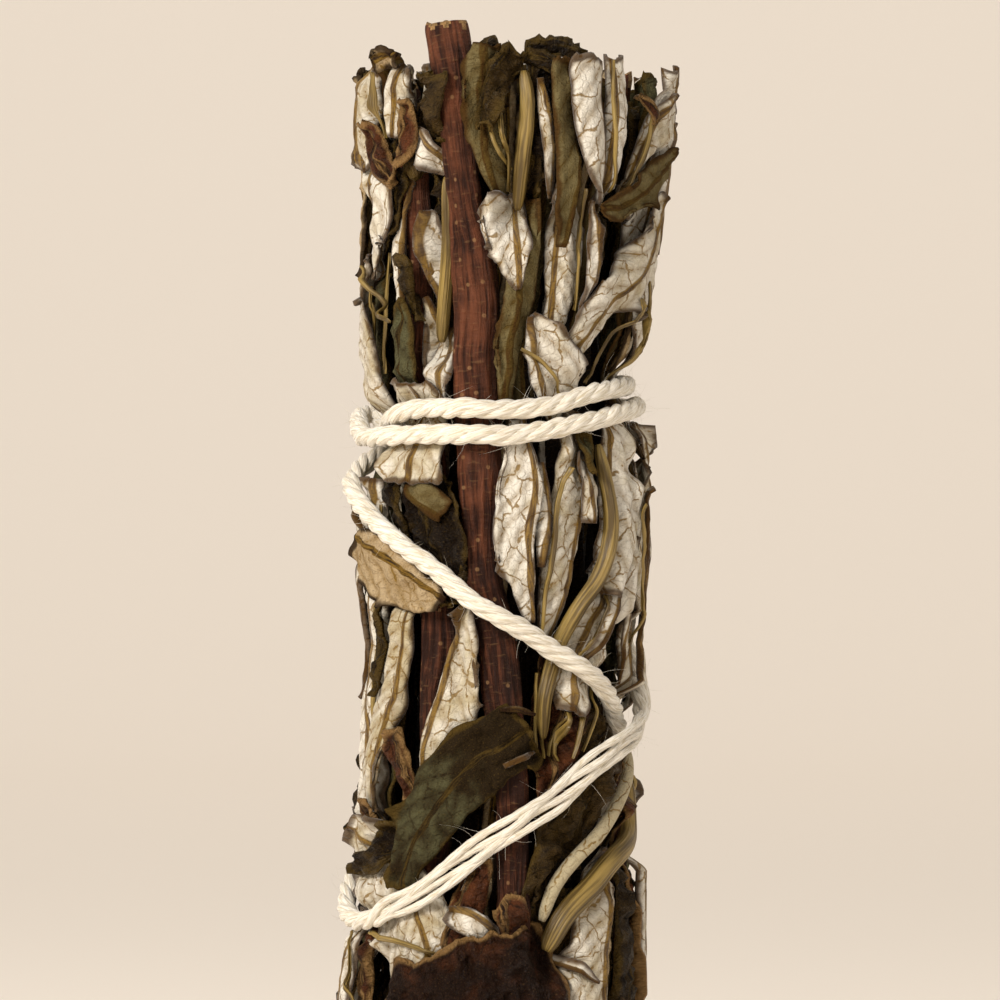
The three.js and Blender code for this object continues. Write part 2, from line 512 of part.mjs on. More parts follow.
// The twine's middle line, [angle, z, r] at every millimetre, pulled tight over the stems and its own earlier turns.
function twineLine() {
  const radius = TWINE_DIAMETER / 2;
  const touch = TWINE_DIAMETER + 0.25;
  const line = resample(TWINE_ROUTE, (total) => Math.round(total) + 1);
  const rest = line.map(([angle, z, proud]) => {
    const over = most(reach, angle, z);
    return Math.max(girth(z) + proud, over > CORE_RADIUS + 0.5 ? over + radius + 2 * CLEARANCE : 0);
  });
  const out = [...rest];
  for (let pass = 0; pass < 60; pass++)
    line.forEach(([angle, z], i) => {
      let need = rest[i];
      for (let j = 0; j < i - 8; j++) {
        const turns = (angle - line[j][0]) / 360;
        const along = radians((turns - Math.round(turns)) * 360) * out[j];
        const apart = Math.hypot(along, z - line[j][1]);
        if (apart < touch) need = Math.max(need, out[j] + Math.sqrt(touch ** 2 - apart ** 2));
      }
      const pulled = i > 0 && i < line.length - 1 ? (out[i - 1] + out[i + 1]) / 2 - 0.03 : need;
      out[i] = Math.max(need, pulled);
    });
  return line.map(([angle, z], i) => [angle, z, out[i]]);
}

// The greatest distance from the middle line that a leaf may have at a place, so that it lies under the rods, whose
// points are [angle, z, r, radius].
function coverUnder(rods) {
  const cover = new Float64Array(MAP_ANGLES * MAP_HEIGHTS).fill(Infinity);
  for (const [angle, z, r, radius] of rods)
    for (let i = -2; i <= 2; i++)
      for (let j = -6; j <= 6; j++) {
        const [a, h] = [angle + (i * 360) / MAP_ANGLES, z + j * MAP_STEP];
        const apart = Math.hypot(radians(a - angle) * r, h - z);
        const under = r - Math.sqrt(Math.max(0, radius ** 2 - apart ** 2)) - CLEARANCE - 0.05;
        const free = r - radius * 0.4 + 0.6 * Math.max(0, apart - radius);
        const limit = apart < radius ? under : free;
        if (h >= 0) cover[cell(a, h)] = Math.min(cover[cell(a, h)], limit);
      }
  return cover;
}

// Presses every leaf in, the outer ones most, until the stack fits the girth and passes under the twine.
function press(faces, stemReach, cover) {
  const whole = Float64Array.from(reach);
  for (const face of faces)
    for (const line of face)
      for (const p of line) {
        const over = most(stemReach, p.angle, p.z, 0);
        const base = p.r > over ? over : CORE_RADIUS;
        const stack = Math.max(base + 0.1, most(whole, p.angle, p.z));
        const least = over > CORE_RADIUS + 0.5 ? over + 2 * (BLADE_THICKNESS + CLEARANCE) : 0;
        const room = Math.min(Math.max(girth(p.z) + BULGE, least), cover[cell(p.angle, p.z)]);
        if (p.r > base && room < stack) p.r = base + ((p.r - base) * Math.max(0.2, room - base)) / (stack - base);
      }
}

// The twine as a rod, closed by the knot, with its two cut tails.
const TWINE_SIDES = 8;
function twineSolid(line, extra = 0) {
  const radius = TWINE_DIAMETER / 2 + extra;
  const rod = (rows) => {
    const middles = rows.map((p) => place(...p));
    return loft(middles.map((_, j) => rodRing(middles, j, radius, TWINE_SIDES)));
  };
  const spans = Math.round(line.length / TWINE_STATION);
  let solid = rod(count(spans + 1).map((k) => line[Math.round((k * (line.length - 1)) / spans)]));
  const out = girth(KNOT.height) + KNOT.proud;
  const levels = [-1, -0.7, 0, 0.7, 1];
  const knot = levels.map((level) =>
    count(TWINE_SIDES).map((i) => {
      const turn = (2 * Math.PI * i) / TWINE_SIDES;
      const round = Math.sqrt(1.12 - level * level);
      const r = out + (KNOT.out + extra) * round * Math.sin(turn);
      const angle = KNOT.angle + degrees(((KNOT.across + extra) * round * Math.cos(turn)) / out);
      return place(angle, KNOT.height + (KNOT.up + extra) * level, r);
    }),
  );
  solid = solid.add(loft(knot));
  for (const tail of TAILS) {
    const rows = resample(tail, 6).map(([angle, z]) => [angle, z, girth(z) + BULGE + TWINE_DIAMETER / 2 + 0.3]);
    solid = solid.add(rod(rows));
  }
  return solid;
}

// A sprig's stem and leaves, each leaf held to the stem by a short stalk at its root.
function sprig(angle, k) {
  const sway = (z) => angle + 4 * Math.sin(z / 23 + 1.9 * k);
  const radius = k === 1 ? 1.8 : 1.1;
  const stem = [100.5 + Math.sin(2.3 * k), 70, 35, 0].map((z) => [sway(z), z, girth(z) - 1.7 - radius, radius]);
  const leaves = SPRIG_HEIGHTS.map(([low, high], i) => {
    const shift = 2 * Math.sin(3 * i + 2 * k);
    const [from, to] = [low && low + shift, high < 99 ? high + shift : high + Math.sin(5 * i + k)];
    const side = (i + k) % 2 ? 1 : -1;
    const path = [0, 0.3, 0.65, 1].map((t) => {
      const z = from + (to - from) * t;
      return [sway(z) + side * SPRIG_LEAF.spread * (0.15 + Math.sin(2.2 * t + 0.3 * !low)), z];
    });
    const half = SPRIG_LEAF.half + 0.4 * Math.sin(7 * i + 3 * k);
    const options = { sunk: 0.7, fold: 12, start: low ? 0.2 : 0.7, end: high < 99 ? 0.2 : 0.75, wave: 0.3 };
    return { half, path, stride: 3, options };
  });
  return { name: `sprig_back_${k + 1}`, colour: k === 1 ? "pale" : "green", stem, leaves };
}

function sprigSolid({ stem, leaves }, extra = 0) {
  let solid = stemSolid(stem, extra);
  const line = resample(stem, 60);
  for (const { leaf, face } of leaves) {
    const held = face[3][(ACROSS - 1) / 2];
    const rootHeight = Math.max(1.5, held.z - 2);
    const root = line.reduce((a, b) => (Math.abs(b[1] - rootHeight) < Math.abs(a[1] - rootHeight) ? b : a));
    const middles = [place(...root), place(held.angle, held.z, held.r - BLADE_THICKNESS * 0.6)];
    const stalk = loft(middles.map((_, j) => rodRing(middles, j, 0.6 + extra, 5)));
    solid = solid.add(leafSolid(leaf, face, extra)).add(stalk);
  }
  return solid;
}

const stems = STEMS.map((stem) => ({ name: stem[0], colour: stem[1], path: stemPath(stem) }));
const stalks = STALKS.map((stalk) => ({ name: stalk[0], colour: stalk[1], path: stemPath(stalk) }));
const sprigs = SPRIG_ANGLES.map(sprig);
for (const { path } of stems) markStem(path);
for (const { stem } of sprigs) markStem(stem);
const stemReach = Float64Array.from(reach);
const twine = twineLine();

const lay = (leaf) => {
  const face = leafFace(leaf);
  markLeaf(face);
  return { leaf, face };
};
for (const i of SPRIG_HEIGHTS.keys()) for (const { leaves } of sprigs) leaves[i] = lay(leaves[i]);
const frontLeaves = LEAVES.map(([name, colour, half, path, options]) => ({
  name,
  colour,
  ...lay({ half, path: path.map(([x, z]) => [angleOf(x, z, girth(z)), z]), options }),
}));
const cover = coverUnder([
  ...twine.map(([angle, z, r]) => [angle, z, r, TWINE_DIAMETER / 2]),
  ...stalks.flatMap(({ path }) => resample(path, 60)),
]);
press([...sprigs.flatMap(({ leaves }) => leaves), ...frontLeaves].map(({ face }) => face), stemReach, cover);

const piece = ({ name, colour }, make, tolerance = 0.06) => {
  const [solid, keepOut] = [make(0), make(CLEARANCE)];
  return { name, colour, solid, keepOut, tolerance };
};
const pieces = [
  piece({ name: "twine", colour: "twine" }, (extra) => twineSolid(twine, extra)),
  ...[...stems, ...stalks].map((rod) => piece(rod, (extra) => stemSolid(rod.path, extra))),
  ...frontLeaves.reverse().map((one) => piece(one, (extra) => leafSolid(one.leaf, one.face, extra), 0.03)),
  ...sprigs.map((one) => piece(one, (extra) => sprigSolid(one, extra))),
  piece({ name: "inner_leaves", colour: "dark" }, () => innerLeaves()),
];

// Each piece gives way to those before it, and keeps its largest part where it is cut through.
const largest = (solid) => solid.decompose().sort((a, b) => b.volume() - a.volume())[0];

const stick = new THREE.Group();
pieces.forEach((piece, i) => {
  for (const other of pieces.slice(0, i))
    if (piece.solid.intersect(other.keepOut).volume() > 1e-6) piece.solid = piece.solid.subtract(other.keepOut);
  piece.solid = solidOf(geometryOf(piece.solid)).simplify(piece.tolerance);
  for (const other of pieces.slice(0, i))
    if (piece.solid.intersect(other.solid).volume() > 1e-4) piece.solid = piece.solid.subtract(other.solid);
  piece.solid = largest(solidOf(geometryOf(largest(piece.solid), 0.0025)));
  const mesh = new THREE.Mesh(
    geometryOf(piece.solid),
    new THREE.MeshStandardMaterial({ ...COLOURS[piece.colour], metalness: 0 }),
  );
  mesh.name = piece.name;
  stick.add(mesh);
});

export default stick;
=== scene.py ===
# Smudge stick: dried leaves and woody stems bound with cotton twine, shown standing on its cut base.
# The lists and working lengths are in millimetres, as seen from the front. Meshes are in metres.
import functools
import math

import bpy
import mathutils
import numpy as np
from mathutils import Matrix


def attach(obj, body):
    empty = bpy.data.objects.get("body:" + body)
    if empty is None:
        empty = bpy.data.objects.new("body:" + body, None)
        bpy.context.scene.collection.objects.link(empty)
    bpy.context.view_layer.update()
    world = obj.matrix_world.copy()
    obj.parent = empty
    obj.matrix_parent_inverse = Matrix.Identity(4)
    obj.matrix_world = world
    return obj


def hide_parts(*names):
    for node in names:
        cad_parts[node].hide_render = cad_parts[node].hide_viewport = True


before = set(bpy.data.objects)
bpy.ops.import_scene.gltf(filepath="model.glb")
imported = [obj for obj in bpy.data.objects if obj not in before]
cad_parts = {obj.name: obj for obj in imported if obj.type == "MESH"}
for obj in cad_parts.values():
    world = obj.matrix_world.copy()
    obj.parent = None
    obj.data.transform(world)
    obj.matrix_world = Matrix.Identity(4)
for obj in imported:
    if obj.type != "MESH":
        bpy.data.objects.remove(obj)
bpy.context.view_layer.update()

bl_info = {
    "name": "Smudge Stick",
    "version": (1, 0, 0),
    "blender": (4, 5, 0),
    "location": "3D View > Sidebar > Smudge Stick",
    "description": "Dried leaves and stems bound with cotton twine",
    "category": "Object",
}

MM = 0.001
BODY = "root"
SEED = 11

# The bundle, as its solids have it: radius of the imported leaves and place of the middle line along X, by
# height.
GIRTH = (
    [0, 8, 16, 22, 29, 37, 48, 56, 62, 68, 73, 79, 86, 94, 104],
    [13, 13.1, 13.3, 12.7, 12.3, 12.7, 11.9, 12.8, 12.9, 12.4, 12.2, 12.8, 13.1, 14, 13.9],
)
MIDDLE = ([0, 16, 28, 36, 60, 74, 84, 94, 104], [-2, -1.9, -1.1, -0.2, 0, -0.6, 0.5, 1, 1])
STICK_MIDDLE = (-0.13, -0.05)
# The crushed middle's radius, and the distance over which a map shows a stem and not the middle. How far the
# pressed leaves may lie over the girth, and how much farther their margins may stand. The height of the
# stick, and how far out a leaf may reach in x.
CORE_RADIUS = 8.7
STEM_MARK = CORE_RADIUS + 0.5
BULGE = 0.45
STANDING_PROUD = 1.25
TOP = 104.0
WIDEST = 16.0

# Woody stems and stalks: name, finish, path down from the top as [x, height, depth under the girth, radius].
STEMS = [
    ("stem_thick", "bark", [[-5.3, 104, 1.2, 2.1], [-4.6, 98.5, 1.2, 1.95], [-4.3, 94.5, 1.2, 1.6],
        [-3.6, 88, 1.1, 1.5], [-2.9, 83, 1.2, 1.9], [-2.55, 77, 1.3, 2.05], [-2.3, 67, 1.4, 2.15],
        [-2.1, 60, 1.4, 2], [-1.9, 54, 1.2, 1.7], [-0.8, 49, 1.3, 1.85], [-0.2, 43, 1.3, 1.85],
        [0.5, 37, 1.2, 1.5], [0.6, 28, 1.3, 1.5], [0.6, 16, 1.7, 1.55], [0.7, 0, 1.8, 1.7]]),
    ("stem_second", "bark", [[-8.5, 97, 2.4, 1.3], [-8.1, 88, 2.2, 1.4], [-7.7, 79, 2.4, 1.3],
        [-6.6, 64, 2.7, 1.5], [-5.9, 50, 2.1, 1.6], [-6.2, 41, 2.2, 1.6], [-6.8, 28, 2.7, 1.5],
        [-7.2, 14, 2.8, 1.5], [-7.4, 0, 2.9, 1.6]]),
    ("stem_right", "bark", [[10.4, 36, 2.6, 0.9], [10.5, 26, 1.1, 0.95], [10.3, 16, 1.2, 1],
        [10.2, 0, 1.4, 1.1]]),
]
STALKS = [
    ("stalk_slim", "stalk", [[-5.2, 90, 1, 0.6], [-5, 84.4, 0.8, 0.7], [-5.7, 75.2, 1.6, 0.65]]),
    ("stalk_red", "stalk", [[1.7, 99.4, 1.2, 0.6], [2, 96.6, 0.9, 0.65], [1.6, 92, 0.9, 0.7],
        [1.1, 87, 1.7, 0.6]]),
    ("stalk_curved", "stalk", [[8.4, 66, 0.9, 0.6], [9.5, 60.5, 0.1, 0.7], [9.4, 57, 0, 0.75],
        [8.4, 54, 0, 0.75], [6.4, 51, 0.5, 0.75], [4.6, 47.4, 1.5, 0.7], [3.6, 43.5, 1, 0.7],
        [3.4, 39.6, 1.9, 0.5]]),
    ("leaf_rolled", "pale", [[11.7, 38.5, 1.4, 0.6], [10.4, 34.1, 0.6, 0.65], [8.6, 31.1, 0.3, 0.7],
        [6.2, 28.6, 0.3, 0.7], [4.4, 26.2, 0.5, 0.65], [3.3, 23.2, 1, 0.6]]),
    ("stalk_tan", "stalk", [[12, 35.5, 1.2, 0.8], [11.2, 31.1, 0.5, 0.9], [9.6, 28.4, 0.2, 1],
        [7.6, 26, 0.2, 1.05], [5.4, 23.7, 0.3, 1.05], [3.7, 20.5, 0.9, 1]]),
]

# Leaves seen from the front, innermost first: name, finish, half width, path as [x, height], and their
# form: sunk under the girth, slope from the midrib (fold) and further turn to the margin (bend) in degrees,
# tilt of the whole blade, share of the half width at the start and end, place of the widest part (peak),
# wave of the margin. A scrap is a strip or torn piece between the leaves, and a rib is a bare midrib or
# petiole.
LEAVES = [
    # Left of the thick stem, from the top.
    ("leaf_dark_top", "dark", 2.7, [[-6.6, 99.2], [-7.6, 95.2], [-9.2, 90.5]],
        dict(sunk=1.4, start=0.8, tone=0.1)),
    ("scrap", "pale", 1.2, [[-9.6, 90], [-9.9, 84], [-9.6, 78]], dict(sunk=1.6)),
    ("scrap", "dark", 0.8, [[-2, 103], [-1.6, 101.6], [-1.6, 99]], dict(sunk=1.8, start=0.8)),
    ("scrap", "dark", 1.8, [[-10.4, 98.5], [-10.4, 92], [-10.4, 85]], dict(sunk=2.2, start=0.8)),
    ("scrap", "dark", 1.4, [[-6, 93.5], [-6.3, 88], [-6.4, 82]], dict(sunk=1.7)),
    ("scrap", "pale", 1, [[-6.9, 87], [-7, 82.5], [-6.8, 78.5]], dict(sunk=1.3)),
    ("scrap", "pale", 1.5, [[-8.4, 94.2], [-7.2, 92.4], [-5.9, 90.4]], dict(sunk=0.8)),
    ("leaf_pale_04", "pale", 2.6, [[-12.4, 92.5], [-11.3, 88], [-11.7, 84.8], [-12, 81]],
        dict(sunk=0.3, fold=16)),
    ("leaf_pale_03", "pale", 2.9, [[-12.2, 83], [-12.8, 79], [-12.6, 75], [-12.2, 70], [-12.4, 64]],
        dict(sunk=0.5, fold=12, rib=-0.45)),
    ("scrap", "pale", 1, [[-7.9, 79.2], [-7.4, 76], [-7.3, 72.4]], dict(sunk=0.9)),
    ("scrap", "dark", 0.9, [[-8.3, 83], [-8.6, 80], [-8.1, 77]], dict(sunk=1)),
    ("leaf_pale_small", "pale", 1.6, [[-6.3, 76.5], [-6.2, 73], [-6.3, 69]], dict(sunk=0.5, fold=16)),
    ("leaf_green_small", "green", 2, [[-8.8, 79.2], [-9.2, 75.9], [-9.3, 72.5], [-9.1, 67]],
        dict(sunk=0.1, start=0.1)),
    ("rib", "stalk", 0.45, [[-12.1, 81.9], [-11.2, 79], [-9.7, 77]], dict(sunk=0.1)),
    ("leaf_pale_01", "pale", 2.6, [[-11.6, 100.4], [-12.5, 97.5], [-12.7, 94.8], [-12, 91]],
        dict(sunk=-0.2, fold=22, start=0.7, rib=-0.6)),
    ("scrap", "olive", 1.1, [[-10.9, 101], [-10.5, 97.5], [-10.7, 94.6]], dict(sunk=0.5, start=0.8)),
    ("leaf_pale_02", "pale", 2.1, [[-9.4, 100], [-9.7, 97], [-10, 93.6]],
        dict(sunk=-0.2, fold=20, start=0.7)),
    ("scrap", "tan", 1, [[-11, 100.2], [-9.8, 100.9], [-8.2, 100.3]], dict(sunk=0.3, start=0.8, end=0.8)),
    ("scrap", "brown", 1.2, [[-8.6, 97], [-8.4, 94], [-9, 91]], dict(sunk=0.2, wave=0.2)),
    ("rib", "stalk", 0.35, [[-10.8, 99.4], [-10.9, 96.5], [-10.6, 93.6]], dict(sunk=0.1)),
    ("leaf_brown_top", "brown", 1.8, [[-11.6, 95], [-11, 91.6], [-9.4, 89.2]], dict(sunk=-0.1, end=0.2)),
    ("leaf_dark_01", "dark", 3.2, [[-9.6, 64.5], [-7, 60], [-5.6, 55.4], [-4.9, 51.5]],
        dict(sunk=1.6, wave=0.4)),
    ("scrap", "dark", 1.2, [[-10.4, 63.4], [-10, 60.5], [-9.9, 57.6]], dict(sunk=0.9, wave=0.2)),
    ("scrap", "olive", 1.4, [[-8.8, 62.5], [-6.9, 61.2], [-5, 59.8]], dict(sunk=0.3, start=0.6, end=0.8)),
    ("leaf_pale_06", "pale", 3.9, [[-8.3, 71.5], [-8.4, 67], [-8.5, 62.6]],
        dict(sunk=0.4, fold=2, end=0.85, wave=0.7, tone=0.35)),
    ("leaf_pale_edge", "pale", 3, [[-12.4, 63], [-12.2, 52], [-12.2, 42], [-12.8, 30]],
        dict(sunk=0.6, fold=12)),
    ("scrap", "pale", 1.2, [[-13, 61], [-12.8, 52], [-12.9, 43]], dict(sunk=0.3, rib=0.6)),
    ("rib", "stalk", 0.4, [[-11.9, 60.5], [-11.6, 52], [-11.6, 44], [-12.2, 37]], dict(sunk=0.2)),
    ("leaf_pale_07", "pale", 2.2, [[-9.2, 54.5], [-9.5, 47.5], [-10.5, 43], [-11.7, 38], [-12.3, 30.5]],
        dict(sunk=0.2, fold=18, rib=0.4, tone=0.4)),
    ("scrap", "dark", 0.9, [[-11.1, 51.6], [-10.9, 47.2], [-11.3, 43.2]], dict(sunk=0.1)),
    ("leaf_tan_01", "tan", 2.9, [[-12.9, 57], [-10.8, 54.5], [-8.4, 53], [-5.6, 51.8]],
        dict(sunk=-0.2, fold=4, tilt=8, rib=0.5)),
    ("leaf_pale_08", "pale", 2.9, [[-3.3, 52], [-3.8, 47.5], [-4.5, 43], [-5.8, 38.5], [-7.6, 33.5]],
        dict(sunk=0.6, start=0.1, peak=0.72, tone=0.3)),
    ("scrap", "brown", 1.5, [[-9.7, 40.4], [-9.2, 37], [-8.7, 34]], dict(sunk=0.7, wave=0.15)),
    ("scrap", "brown", 1.6, [[-12.2, 34], [-12.9, 26], [-13.2, 15]], dict(sunk=0.9)),
    ("leaf_pale_09", "pale", 4.6, [[-13, 31], [-10.8, 26.4], [-8.5, 21], [-7.6, 14], [-7.4, 7]],
        dict(sunk=0.5, fold=3, rib=0.25)),
    ("scrap", "dark", 1.7, [[-9.4, 31.6], [-11.2, 29.3], [-13.2, 27.6]], dict(sunk=0.2)),
    ("leaf_brown_04", "brown", 2, [[-1.8, 29], [-3.5, 24.5], [-5.6, 19]], dict(sunk=0.1, wave=0.2)),
    ("leaf_pale_11", "pale", 2.8, [[-13.4, 24], [-14.2, 19], [-14.6, 14], [-14.2, 6], [-14, 0]],
        dict(sunk=-0.6, fold=9, end=0.8)),
    ("rib", "stalk", 0.3, [[-13.7, 22], [-13.4, 19.5], [-13.2, 16], [-13.3, 10]], dict(sunk=-0.7)),
    ("rib", "stalk", 0.45, [[-12.3, 22], [-8.8, 21.1], [-5.7, 20.2]], dict(sunk=0)),
    # Right of the thick stem, from the top.
    ("scrap", "dark", 0.8, [[2.6, 101.6], [5.4, 101.7], [8.4, 101]], dict(sunk=2.6, start=0.9, end=0.8)),
    ("leaf_olive_01", "olive", 2, [[-1.6, 102], [-1.9, 97.9], [-1.3, 92.5], [-0.3, 87.5]],
        dict(sunk=0.5, fold=20, start=0.8)),
    ("rib", "stalk", 0.35, [[-1.9, 97.2], [-1.4, 94.4], [-0.4, 91.9], [0.6, 90.6]], dict(sunk=0.1)),
    ("rib", "stalk", 0.35, [[-0.6, 96.6], [-0.3, 94], [0.3, 91.6], [0.2, 88.6]], dict(sunk=0.3)),
    ("leaf_dark_03", "dark", 2.2, [[3.9, 100.6], [3.5, 96.1], [3, 91.6], [1.9, 86]],
        dict(sunk=0.5, fold=20, start=0.9)),
    ("scrap", "dark", 0.9, [[2.2, 100.6], [3.9, 100.2], [5.6, 99]], dict(sunk=0, start=0.8, end=0.6)),
    ("scrap", "pale", 0.9, [[3.3, 98.8], [3.9, 93.5], [4.1, 88]], dict(sunk=0.1, rib=0.5)),
    ("leaf_pale_14", "pale", 2.6, [[6.4, 91], [6.2, 84.4], [5.5, 79.4], [4.4, 74.5]],
        dict(sunk=0.6, fold=18, start=0.6)),
    ("leaf_olive_02", "olive", 1.6, [[5, 100.2], [5.5, 95.2], [5.7, 89.8], [5, 83.6]],
        dict(sunk=0.1, fold=16, start=0.8)),
    ("leaf_pale_16", "pale", 1.9, [[10.5, 101], [10.7, 96.1], [10.3, 92.5], [9.5, 88]],
        dict(sunk=0.2, fold=22, start=0.9)),
    ("leaf_pale_20", "pale", 3, [[13.8, 90], [12.9, 82], [12.1, 74], [12.2, 66]], dict(sunk=0.5, fold=14)),
    ("scrap", "dark", 1.2, [[9.7, 87], [9.4, 84], [8.9, 81]], dict(sunk=1)),
    ("leaf_pale_17", "pale", 2.6, [[14.8, 97], [13.9, 93.4], [12.6, 90.2], [11, 86.5]],
        dict(sunk=-0.1, fold=18, start=0.7)),
    ("rib", "stalk", 0.45, [[13.4, 96], [12.7, 92.8], [11.6, 90], [10.6, 88]], dict(sunk=-0.1)),
    ("leaf_olive_03", "olive", 1.9, [[2.5, 88], [2.1, 83.5], [1.3, 79], [0.6, 75], [0, 69.5]],
        dict(sunk=0.4, fold=16)),
    ("rib", "stalk", 0.4, [[6.9, 88.5], [6.8, 83], [6.5, 78]], dict(sunk=0.3)),
    ("scrap", "pale", 0.8, [[7.7, 87.8], [7.6, 82], [6.9, 77]], dict(sunk=0.3)),
    ("leaf_pale_18", "pale", 3, [[14, 88.6], [12.2, 82.4], [9.7, 79.1], [7.2, 75.5], [5.6, 72]],
        dict(sunk=0.2, fold=12, rib=0.1)),
    ("rib", "stalk", 0.35, [[12.4, 80.2], [11.3, 75.5], [10.1, 71.6]], dict(sunk=0.1)),
    ("rib", "stalk", 0.35, [[11.7, 79.4], [9.7, 75.9], [7.6, 71.5]], dict(sunk=0)),
    ("leaf_pale_19", "pale", 2.9, [[2.4, 77.6], [3.6, 74.9], [4.8, 72], [5.6, 66.5]],
        dict(sunk=0, start=0.15, peak=0.55)),
    ("rib", "stalk", 0.35, [[1.5, 74.4], [3.3, 73.2], [5.4, 70.4]], dict(sunk=-0.1)),
    ("leaf_pale_15", "pale", 2.2, [[7.5, 100.5], [7.6, 95.2], [8.1, 91.6], [8.5, 87.6]],
        dict(sunk=-0.3, start=0.95, peak=0.1, end=0.15, rib=0.9, fold=4)),
    ("rib", "stalk", 0.4, [[9.5, 100.2], [9.5, 95], [9.3, 88.6]], dict(sunk=-0.1)),
    ("scrap", "brown", 0.9, [[12.2, 97.6], [12.8, 96.4], [13, 94.8]], dict(sunk=0, start=0.5)),
    ("leaf_dark_02", "dark", 1.7, [[1.6, 101.4], [0, 99.2], [-1.1, 97], [-1.7, 94]],
        dict(sunk=-0.4, fold=14, start=0.9, tone=0)),
    ("leaf_pale_13", "pale", 2.4, [[0, 88.4], [0, 85.8], [0.6, 83], [1.1, 79.8]],
        dict(sunk=-0.3, start=0.9, peak=0.2, end=0.15)),
    ("leaf_olive_04", "olive", 1.9, [[14.7, 92.4], [12.5, 89.2], [10.2, 87.4], [8.3, 87]],
        dict(sunk=-0.4, fold=12)),
    ("leaf_dark_05", "dark", 3.8, [[10.4, 42], [8.2, 36.7], [6.4, 31], [3.9, 25], [3.2, 21]],
        dict(sunk=1.3, tone=0.05)),
    ("leaf_brown_06", "brown", 3.2, [[6.6, 49], [6, 43], [5.1, 39], [3.9, 33.5]], dict(sunk=0.9, fold=16)),
    ("rib", "stalk", 0.4, [[9.2, 45], [8.2, 41.4], [7, 38.4]], dict(sunk=0.4)),
    ("rib", "stalk", 0.3, [[8.2, 47], [6.2, 42.6], [4.5, 38]], dict(sunk=0.5)),
    ("rib", "stalk", 0.5, [[3.2, 46], [3.4, 41.5], [3.3, 37.5]], dict(sunk=0.4)),
    ("rib", "stalk", 0.5, [[5.2, 46.6], [4.6, 42], [3.9, 37.8]], dict(sunk=0.2)),
    ("rib", "stalk", 0.5, [[6.8, 46.4], [5.8, 42], [4.8, 37.6]], dict(sunk=0.3)),
    ("rib", "stalk", 0.45, [[8, 45.4], [7, 41.6], [6, 37.8]], dict(sunk=0.3)),
    ("leaf_pale_25", "pale", 2.8, [[12.2, 68], [12.6, 57], [12, 47], [11.6, 36]], dict(sunk=0.5, fold=14)),
    ("leaf_pale_22", "pale", 2.5, [[6.6, 69], [6.3, 61], [5.8, 57.4], [5.1, 52.9], [4, 47]],
        dict(sunk=0.6, fold=14)),
    ("leaf_pale_24", "pale", 3.2, [[11.6, 58], [10.4, 53.4], [8, 48.5], [5.9, 42]], dict(sunk=0.3, fold=14)),
    ("scrap", "pale", 0.7, [[10.9, 55.4], [9.2, 50.5], [7.4, 46.3]], dict(sunk=0.1, rib=0.6)),
    ("rib", "stalk", 0.3, [[10, 54.6], [8.3, 50.4], [6.9, 46.6]], dict(sunk=0.1)),
    ("leaf_pale_23", "pale", 2.8, [[10.4, 69.5], [10.9, 61.9], [10.5, 57.4], [9.3, 52.5]],
        dict(sunk=0.1, fold=14)),
    ("scrap", "pale", 1, [[12.3, 62], [12.5, 55], [12.2, 47], [11.8, 41]], dict(sunk=0.2, rib=-0.6)),
    ("rib", "stalk", 0.3, [[11.7, 60], [11.8, 54], [11.4, 48]], dict(sunk=0)),
    ("scrap", "pale", 1.6, [[7.6, 65], [7.8, 61.8], [7.9, 59.4]], dict(sunk=0.3, start=0.7, end=0.9)),
    ("scrap", "pale", 0.9, [[3.3, 64.4], [3.5, 59], [3.3, 55]], dict(sunk=0.6)),
    ("leaf_pale_21", "pale", 2.4, [[1.1, 68.5], [1.3, 61.9], [0.9, 57.4], [1.5, 53.8], [2.4, 50]],
        dict(sunk=0.1, fold=16, end=0.15, rib=0.55)),
    ("rib", "stalk", 0.5, [[5.9, 64.2], [4.7, 60.9], [4.4, 57.3], [3.8, 53.1], [3.4, 48.7]], dict(sunk=0.2)),
    ("scrap", "green", 1, [[7, 67], [7.6, 65.2], [7.7, 63.4]], dict(sunk=0, wave=0.2)),
    ("leaf_dark_06", "dark", 3, [[7, 26], [6.5, 20], [5.6, 10], [5.4, 0]],
        dict(sunk=0.7, end=0.8, wave=0.4, tone=0.1)),
    ("leaf_pale_27", "pale", 2.6, [[9.8, 29.5], [8.7, 25], [7.7, 20.9], [7.4, 12], [7.6, 4]],
        dict(sunk=0.6, fold=14)),
    ("scrap", "pale", 0.6, [[5, 20], [6.5, 19], [7.9, 17.6]], dict(sunk=0.3)),
    ("scrap", "brown", 1.7, [[11.7, 37], [12, 26], [11.9, 12], [11.8, 1]], dict(sunk=1)),
    ("scrap", "pale", 1.1, [[12.3, 34], [12.4, 24], [12.2, 12], [12, 1]], dict(sunk=0.4)),
    ("scrap", "tan", 1.2, [[9.6, 16], [10.2, 9], [10, 1]], dict(sunk=0.5)),
    # Over the thick stem.
    ("leaf_green_big", "green", 3.7,
        [[2.1, 40.6], [0, 39.2], [-3.1, 37.1], [-5.8, 34], [-8.1, 29.9], [-9.4, 26]],
        dict(sunk=-0.4, fold=2, start=0.85, stain=1)),
    ("scrap", "pale", 0.3, [[-0.1, 37.2], [1.2, 37.9], [2.8, 38.4]], dict(sunk=-0.6)),
    ("scrap", "tan", 0.35, [[-0.5, 42.2], [1, 42.3], [2.4, 41.8]], dict(sunk=-0.6)),
    ("scrap", "pale", 1.5, [[-5, 24], [-2.6, 22.8], [-0.3, 20.8]], dict(sunk=0.2)),
    ("leaf_brown_05", "brown", 1.7, [[0.2, 25.8], [0.8, 23.6], [1.1, 20.8]],
        dict(sunk=0.7, fold=8, start=0.1, end=0.8)),
